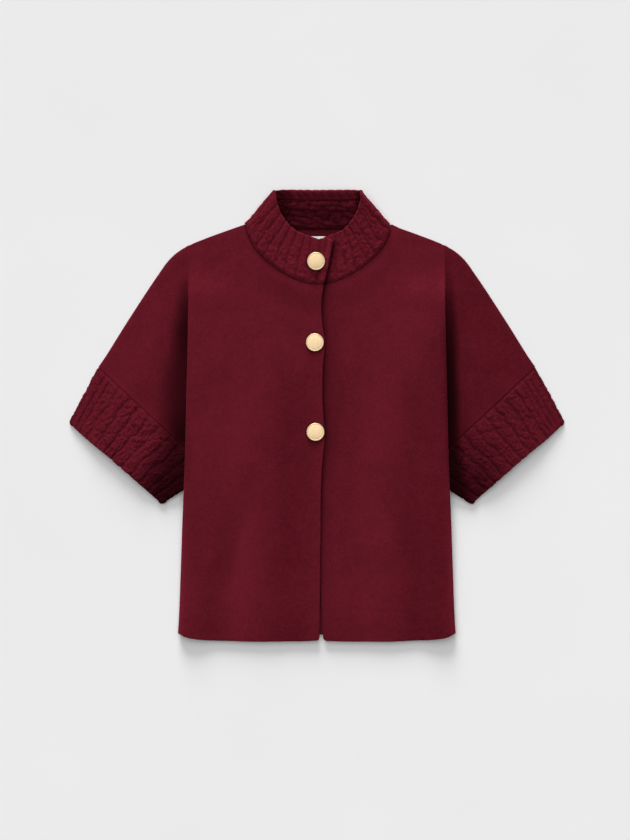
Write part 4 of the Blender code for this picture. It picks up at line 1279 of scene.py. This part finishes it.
def gold(name):
    """Pale satin plating, finished by brushing and lightly handled."""
    made, tree, shader = nodes_of(name)
    where = add(tree, "ShaderNodeTexCoord").outputs["Object"]
    soft = noise_node(tree, where, 160.0, 3.0, 0.6)
    fine = noise_node(tree, where, 2600.0, 3.0, 0.6)
    base = mix_colour(tree, spread_node(tree, soft, 0.3, 0.7, 0.0, 1.0), (0.725, 0.538, 0.314, 1.0), (0.79, 0.60, 0.362, 1.0))
    tree.links.new(base, shader.inputs["Base Color"])
    shader.inputs["Metallic"].default_value = 0.85
    tree.links.new(spread_node(tree, fine, 0.2, 0.8, 0.40, 0.54), shader.inputs["Roughness"])
    bump = tree.nodes.new("ShaderNodeBump")
    bump.inputs["Strength"].default_value = 0.25
    bump.inputs["Distance"].default_value = 0.00012
    tree.links.new(maths(tree, "ADD", fine, soft), bump.inputs["Height"])
    tree.links.new(bump.outputs["Normal"], shader.inputs["Normal"])
    return made


def satin(name, colour):
    """Plain satin weave of the blank label."""
    made, tree, shader = nodes_of(name)
    where = add(tree, "ShaderNodeTexCoord").outputs["Object"]
    threads = tree.nodes.new("ShaderNodeTexWave")
    threads.inputs["Scale"].default_value = 900.0
    threads.inputs["Distortion"].default_value = 0.6
    threads.inputs["Detail"].default_value = 1.0
    threads.bands_direction = "Y"
    tree.links.new(where, threads.inputs["Vector"])
    dark = tuple(c * 0.92 for c in colour) + (1.0,)
    base = mix_colour(tree, threads.outputs["Fac"], dark, tuple(colour) + (1.0,))
    tree.links.new(base, shader.inputs["Base Color"])
    shader.inputs["Roughness"].default_value = 0.55
    bump = tree.nodes.new("ShaderNodeBump")
    bump.inputs["Strength"].default_value = 0.3
    bump.inputs["Distance"].default_value = 0.0002
    tree.links.new(threads.outputs["Fac"], bump.inputs["Height"])
    tree.links.new(bump.outputs["Normal"], shader.inputs["Normal"])
    return made


# ---------------------------------------------------------------- the scene
def soft_sun(name, azimuth, elevation, width, share):
    """An even light as wide as a softbox. share is its part of the floor's brightness."""
    data = bpy.data.lights.new(name, "SUN")
    data.angle = math.radians(width)
    data.energy = share * math.pi / math.sin(math.radians(elevation))
    obj = bpy.data.objects.new(name, data)
    a, e = math.radians(azimuth), math.radians(elevation)
    at = Vector((math.sin(a) * math.cos(e), math.cos(a) * math.cos(e), math.sin(e)))
    obj.location = at * 3
    obj.rotation_euler = (-at).to_track_quat("-Z", "Y").to_euler()
    bpy.context.scene.collection.objects.link(obj)
    return obj


def studio():
    scene = bpy.context.scene
    scene.view_settings.view_transform = "Standard"
    scene.view_settings.look = "None"
    world = bpy.data.worlds.new("studio")
    world.use_nodes = True
    world.node_tree.nodes["Background"].inputs["Color"].default_value = (1.0, 1.0, 1.0, 1.0)
    world.node_tree.nodes["Background"].inputs["Strength"].default_value = 0.13
    scene.world = world
    soft_sun("key", -7.0, 20.0, 27.0, 0.375)
    soft_sun("top", -20.0, 74.0, 72.0, 0.52)
    bm = bmesh.new()
    bmesh.ops.create_grid(bm, x_segments=24, y_segments=24, size=6.0)
    mesh = bpy.data.meshes.new("floor")
    bm.to_mesh(mesh)
    bm.free()
    floor = bpy.data.objects.new("floor", mesh)
    floor.location = (0, 0, -0.0003)
    scene.collection.objects.link(floor)
    made, tree, shader = nodes_of("paper")
    where = add(tree, "ShaderNodeTexCoord").outputs["Object"]
    tone = spread_node(tree, noise_node(tree, where, 3.0, 2.0), 0.3, 0.7, 0.0, 1.0)
    tree.links.new(mix_colour(tree, tone, (0.80, 0.80, 0.805, 1.0), (0.82, 0.82, 0.822, 1.0)), shader.inputs["Base Color"])
    shader.inputs["Roughness"].default_value = 0.9
    shader.inputs["Specular IOR Level"].default_value = 0.1
    mesh.materials.append(made)
    camera = bpy.data.cameras.new("camera")
    camera.lens = 100.0
    camera.sensor_fit = "VERTICAL"
    camera.sensor_height = 36.0
    camera.clip_end = 50.0
    eye = bpy.data.objects.new("camera", camera)
    eye.location = ((314.5 - XC) * UNIT * MM, (YC - 420.0) * UNIT * MM, 3.617)
    eye.rotation_euler = (0, 0, 0)
    scene.collection.objects.link(eye)
    scene.camera = eye


def dress(obj, finish):
    obj.data.materials.clear()
    obj.data.materials.append(finish)
    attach(obj, "root")
    return obj


VALLEY = {  # y, how far the shade of the valley beside the body reaches and its strength, then the same of its weak tail
    "right": ((262, 4.0, 0.0, 9.0, 0.0), (275, 9.0, 0.16, 9.0, 0.0), (285, 13.5, 0.44, 9.0, 0.0), (300, 16.5, 0.66, 9.0, 0.0),
              (315, 19.0, 0.78, 9.0, 0.0), (330, 22.5, 0.88, 9.0, 0.0), (345, 24.0, 0.85, 9.0, 0.0), (362, 30.0, 0.80, 9.0, 0.0),
              (378, 34.0, 0.79, 9.0, 0.0), (400, 35.0, 0.80, 9.0, 0.0), (420, 35.0, 0.88, 9.0, 0.0), (435, 33.0, 0.94, 9.0, 0.0),
              (450, 45.0, 0.82, 9.0, 0.0), (470, 60.0, 0.88, 9.0, 0.0), (505, 76.0, 0.95, 9.0, 0.0)),
    "left": ((258, 4.0, 0.0, 9.0, 0.0), (272, 8.0, 0.2, 9.0, 0.0), (290, 11.5, 0.5, 9.0, 0.0), (310, 13.2, 0.70, 9.0, 0.0),
             (340, 15.2, 0.89, 9.0, 0.0), (370, 15.0, 0.96, 20.0, 0.0), (400, 15.6, 0.97, 28.0, 0.14), (430, 15.2, 0.95, 32.0, 0.28),
             (450, 17.0, 0.93, 68.0, 0.33), (470, 21.0, 0.92, 70.0, 0.52), (505, 28.0, 0.95, 78.0, 0.62)),
}
# painted light and shade along the body's folds
PAINTED_FOLD_LIGHT = (  # x, half width, y where it starts and is full, strength, all in pattern units
    (241.0, 14.0, 350.0, 420.0, 0.10), (292.0, 24.0, 345.0, 400.0, -0.25), (208.0, 10.0, 560.0, 620.0, -0.08),
    (236.0, 11.0, 440.0, 505.0, 0.13), (236.0, 11.0, 540.0, 590.0, -0.13), (371.0, 15.0, 330.0, 400.0, 0.04),
    (412.0, 16.0, 350.0, 410.0, -0.20), (438.0, 15.0, 300.0, 350.0, -0.20), (418.0, 26.0, 555.0, 600.0, -0.07),
    (346.0, 20.0, 300.0, 320.0, -0.07), (223.0, 9.0, 596.0, 622.0, -0.10),
)


# painted highlight and shade beside the side edges
PAINTED_EDGE_LIGHT = (  # y, tone beside the side edges: broad on the wearer's right and left, then right at the edge
    (258, 0.00, 0.00, 0.0, 0.0), (290, 0.06, 0.32, 0.0, -0.10), (320, 0.02, 0.06, 0.0, -0.30), (350, 0.00, -0.18, 0.0, -0.35),
    (400, -0.05, -0.16, 0.0, -0.30), (430, -0.14, -0.12, -0.1, -0.30), (460, -0.18, -0.10, -0.2, -0.30), (490, 0.05, 0.00, 0.0, 0.0),
    (520, 0.12, 0.05, 0.10, 0.20), (560, 0.20, 0.08, 0.40, 0.55), (600, 0.20, 0.08, 0.45, 0.60), (642, 0.22, 0.08, 0.45, 0.60),
)


def valley_shade(mid):
    """How much painted shade a point gets in the valley beside the body's side edge."""
    y = YC - mid[:, 1] / UNIT
    past = np.maximum(0.0, (np.abs(mid[:, 0]) - side_mm(y)) / UNIT)
    shade = np.zeros(len(mid))
    for side, sign, power in (("right", -1, 1.4), ("left", 1, 2.1)):
        reach, depth, far, weak = (curve(VALLEY[side], y, i) for i in (1, 2, 3, 4))
        core = depth * (1 - smooth((past / reach) ** power))
        tail = weak * (1 - smooth((past / far) ** 2))
        shade = np.where(mid[:, 0] * sign > 0, 1 - (1 - core) * (1 - tail), shade)
    return np.clip(shade, 0, 1)


def painted_light_tone(mid):
    """Painted light and shade over the body: lighter where the folds lean to the light, darker where they lean away."""
    x, y = mid[:, 0] / UNIT + XC, YC - mid[:, 1] / UNIT
    tone = np.zeros(len(mid))
    for at, wide, y0, y1, strength in PAINTED_FOLD_LIGHT:
        at = at + 2.5 * noise(y / 80.0, at / 7.0, 141)
        tone = tone + strength * np.exp(-(((x - at) / wide) ** 2)) * smooth((y - y0) / (y1 - y0))
    # painted shade across the shoulders, painted light over the chest
    yoke = np.exp(-(((y - 288.0) / 17.0) ** 2)) * smooth((np.abs(x - XC) - 88.0) / 30.0)
    chest = np.exp(-(((y - 302.0) / 46.0) ** 2)) * smooth((np.abs(x - XC) - 12.0) / 22.0)
    inside = np.maximum(0.0, side_mm(y) / UNIT - np.abs(x - XC))
    left = x < XC
    # painted highlight and shade beside the side edges
    broad = np.where(left, curve(PAINTED_EDGE_LIGHT, y, 1), curve(PAINTED_EDGE_LIGHT, y, 2))
    crisp = np.where(left, curve(PAINTED_EDGE_LIGHT, y, 3), curve(PAINTED_EDGE_LIGHT, y, 4))
    tone = tone + broad * np.exp(-((inside / 5.0) ** 1.5)) + crisp * np.exp(-inside / 2.5)
    # darker towards the hem
    return tone - 0.17 * yoke + 0.06 * chest - 0.07 * smooth((y - 590.0) / 30.0)


def beside_edge(mid):
    """The shade that the upper front edge throws on the panel under it."""
    x, y = mid[:, 0] / UNIT + XC, YC - mid[:, 1] / UNIT
    past = x - curve(RIGHT_EDGE, y)
    tall = smooth((545.0 - y) / 60.0)
    soft = 1 - 0.30 * np.exp(-(((y - 345.0) / 12.0) ** 2)) - 0.30 * np.exp(-(((y - 450.0) / 12.0) ** 2))
    near = (0.42 + 0.04 * tall) * soft * np.exp(-((np.maximum(past, 0) / (2.2 + 1.3 * tall)) ** 2))
    middle = smooth((y - 345.0) / 30.0) * smooth((480.0 - y) / 40.0)
    wide = (0.26 + 0.04 * middle - 0.14 * smooth((y - 450.0) / 120.0)) * np.exp(-((past / (11.0 + 7.0 * middle)) ** 2))
    return np.where(past > -12, near + wide, 0.0)


def build():
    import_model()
    fold = [i / 6 for i in range(1, 7)] + [1 + i / 5 for i in range(1, 5)] + [2 + i / 6 for i in range(0, 7)]
    body = list(np.linspace(-SIDE_REF - 18, 0, int(218 / CELL) + 1))
    sleeve = list(3 + np.arange(1, 60) * CELL)
    rows = list(np.arange(220.0, 645.0, CELL / UNIT))
    front_columns = body + fold + sleeve
    half = list(np.linspace(0, SIDE_REF, int(SIDE_REF / CELL) + 1)) + [SIDE_REF + c for c in fold + sleeve]
    back_columns = [-c for c in reversed(half[1:])] + half
    wool = (0.1040, 0.0079, 0.0152)

    def rim_of(points):
        # the neck's seam is pressed flat and has hardly any rounding of its own
        x, y = points[:, 0] / UNIT + XC, YC - points[:, 1] / UNIT
        return RIM - 0.75 * (1 - smooth((np.abs(neck_distance(x, y)) - 1.0) / 2.0))

    for side, name in (("right", "front_right"), ("left", "front_left")):
        sign = 1 if side == "right" else -1
        obj, info = cloth_wall(name + "_cloth", front_outline(side), front_place(side), front_columns, rows, WOOL, sign,
                               rim_of=rim_of)
        finish = felt("felted_wool_" + side, wool, shade=1.0, painted_light=True, button_shadows=BUTTON_AT[1:] if side == "right" else ())
        on_sleeve = info["plan"][:, 0] > 1.5
        mid = info["mid"]
        x, y = mid[:, 0] / UNIT + XC, YC - mid[:, 1] / UNIT
        # painted shade along the neck seam
        neck_seam_shade = 0.26 * np.exp(-((neck_distance(x, y) / 2.6) ** 2)) * (1 - 0.7 * smooth((np.abs(x - COLLAR_XC) - 58.0) / 10.0))
        on_body = 1 - (1 - neck_seam_shade) * (1 - (beside_edge(mid) if side == "left" else 0.0))
        # the cuff's seam: a painted highlight on the low rise of its allowance and a line of painted shade where the
        # two pieces meet
        seam = distance_to(CUFF_LINE, np.abs(mid[:, 0]) / UNIT, y)
        join = 0.12 if side == "right" else 0.38
        seam_and_fold_light = 0.16 * np.exp(-(((seam - 2.8) / 1.8) ** 2)) - join * np.exp(-((seam / 1.3) ** 2))
        # painted highlight along the sleeve's outer fold
        seam_and_fold_light = seam_and_fold_light + 0.17 * np.exp(-distance_to(OUTER_LINE, np.abs(mid[:, 0]) / UNIT, y) / 3.6)
        # painted shade: in the valley beside the body on the sleeves; on the body along the neck seam and beside the
        # upper front edge
        put_attribute(obj, "shade", np.where(on_sleeve, valley_shade(info["mid"]), on_body))
        # painted shade over the whole sleeve, more on the wearer's left, with the seam and fold marks; on the body the
        # painted light and shade of the folds
        put_attribute(obj, "painted_light", np.where(on_sleeve, (-0.07 if side == "right" else -0.30) + seam_and_fold_light, painted_light_tone(info["mid"])))
        dress(obj, finish)
        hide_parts(name)
        print(name, info["loops"], len(obj.data.polygons))
    obj, info = cloth_wall("back_cloth", back_outline(), back_place, back_columns, rows, WOOL, -1)
    dress(obj, felt("felted_wool_back", wool))
    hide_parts("back")
    print("back", info["loops"], len(obj.data.polygons))
    for sign, name in ((-1, "cuff_right"), (1, "cuff_left")):
        obj, up, normal = cuff(name + "_cloth", sign)
        co = np.array([v.co for v in obj.data.vertices]) / MM
        # painted shade where the cuffs run into the valley beside the body
        put_attribute(obj, "shade", valley_shade(co))
        # painted light and shade: the one cable cloth is made darker on the cuffs, most on the wearer's left one, and
        # lighter on the collar
        tone = tuple(c * (0.92 if sign < 0 else 0.81) for c in wool)
        dress(obj, felt("cable_wool_" + name, tone, shade=1.0, knit=True))
        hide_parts(name)
    obj = collar("collar_cloth")
    # painted light: the cable cloth is lighter on the collar
    dress(obj, felt("cable_wool_collar", tuple(c * 1.12 for c in wool), shade=1.0, knit=True, painted_light=True, button_shadows=BUTTON_AT[:1]))
    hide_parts("collar")
    tape = ribbon("neck_tape_band", COLLAR_XC - 60, COLLAR_XC + 60, lambda x: curve(NECK_BACK, np.abs(x - COLLAR_XC)) - 0.12,
                  8.0, WOOL + 1.1, 0.7)
    dress(tape, felt("neck_tape_weave", (0.066, 0.0058, 0.0115), sheen=0.1))
    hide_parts("neck_tape")
    label = ribbon("neck_label_tab", COLLAR_XC - 11.3, COLLAR_XC + 10.1, lambda x: 236.5 + 0 * x, 20.0, WOOL + 1.0, 0.5, 0.6)
    dress(label, satin("label_satin", (0.98, 0.95, 0.94)))
    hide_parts("neck_label")
    metal = gold("pale_gold")
    top = COLLAR_WALL / 2 + (11.6 + 16.4) / 2 + 0.45
    lie = WOOL / 2 + (WOOL / 2 + 2 * PITCH) + 0.35
    for i, ((x, y), z, tilt) in enumerate(zip(BUTTON_AT, (top, lie, lie), (math.radians(3.6), 0.0, 0.0))):
        cap = button(f"button_{i + 1}_cap", x, y, z, tilt)
        dress(cap, metal)
        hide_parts(f"button_{i + 1}")
    studio()


build()
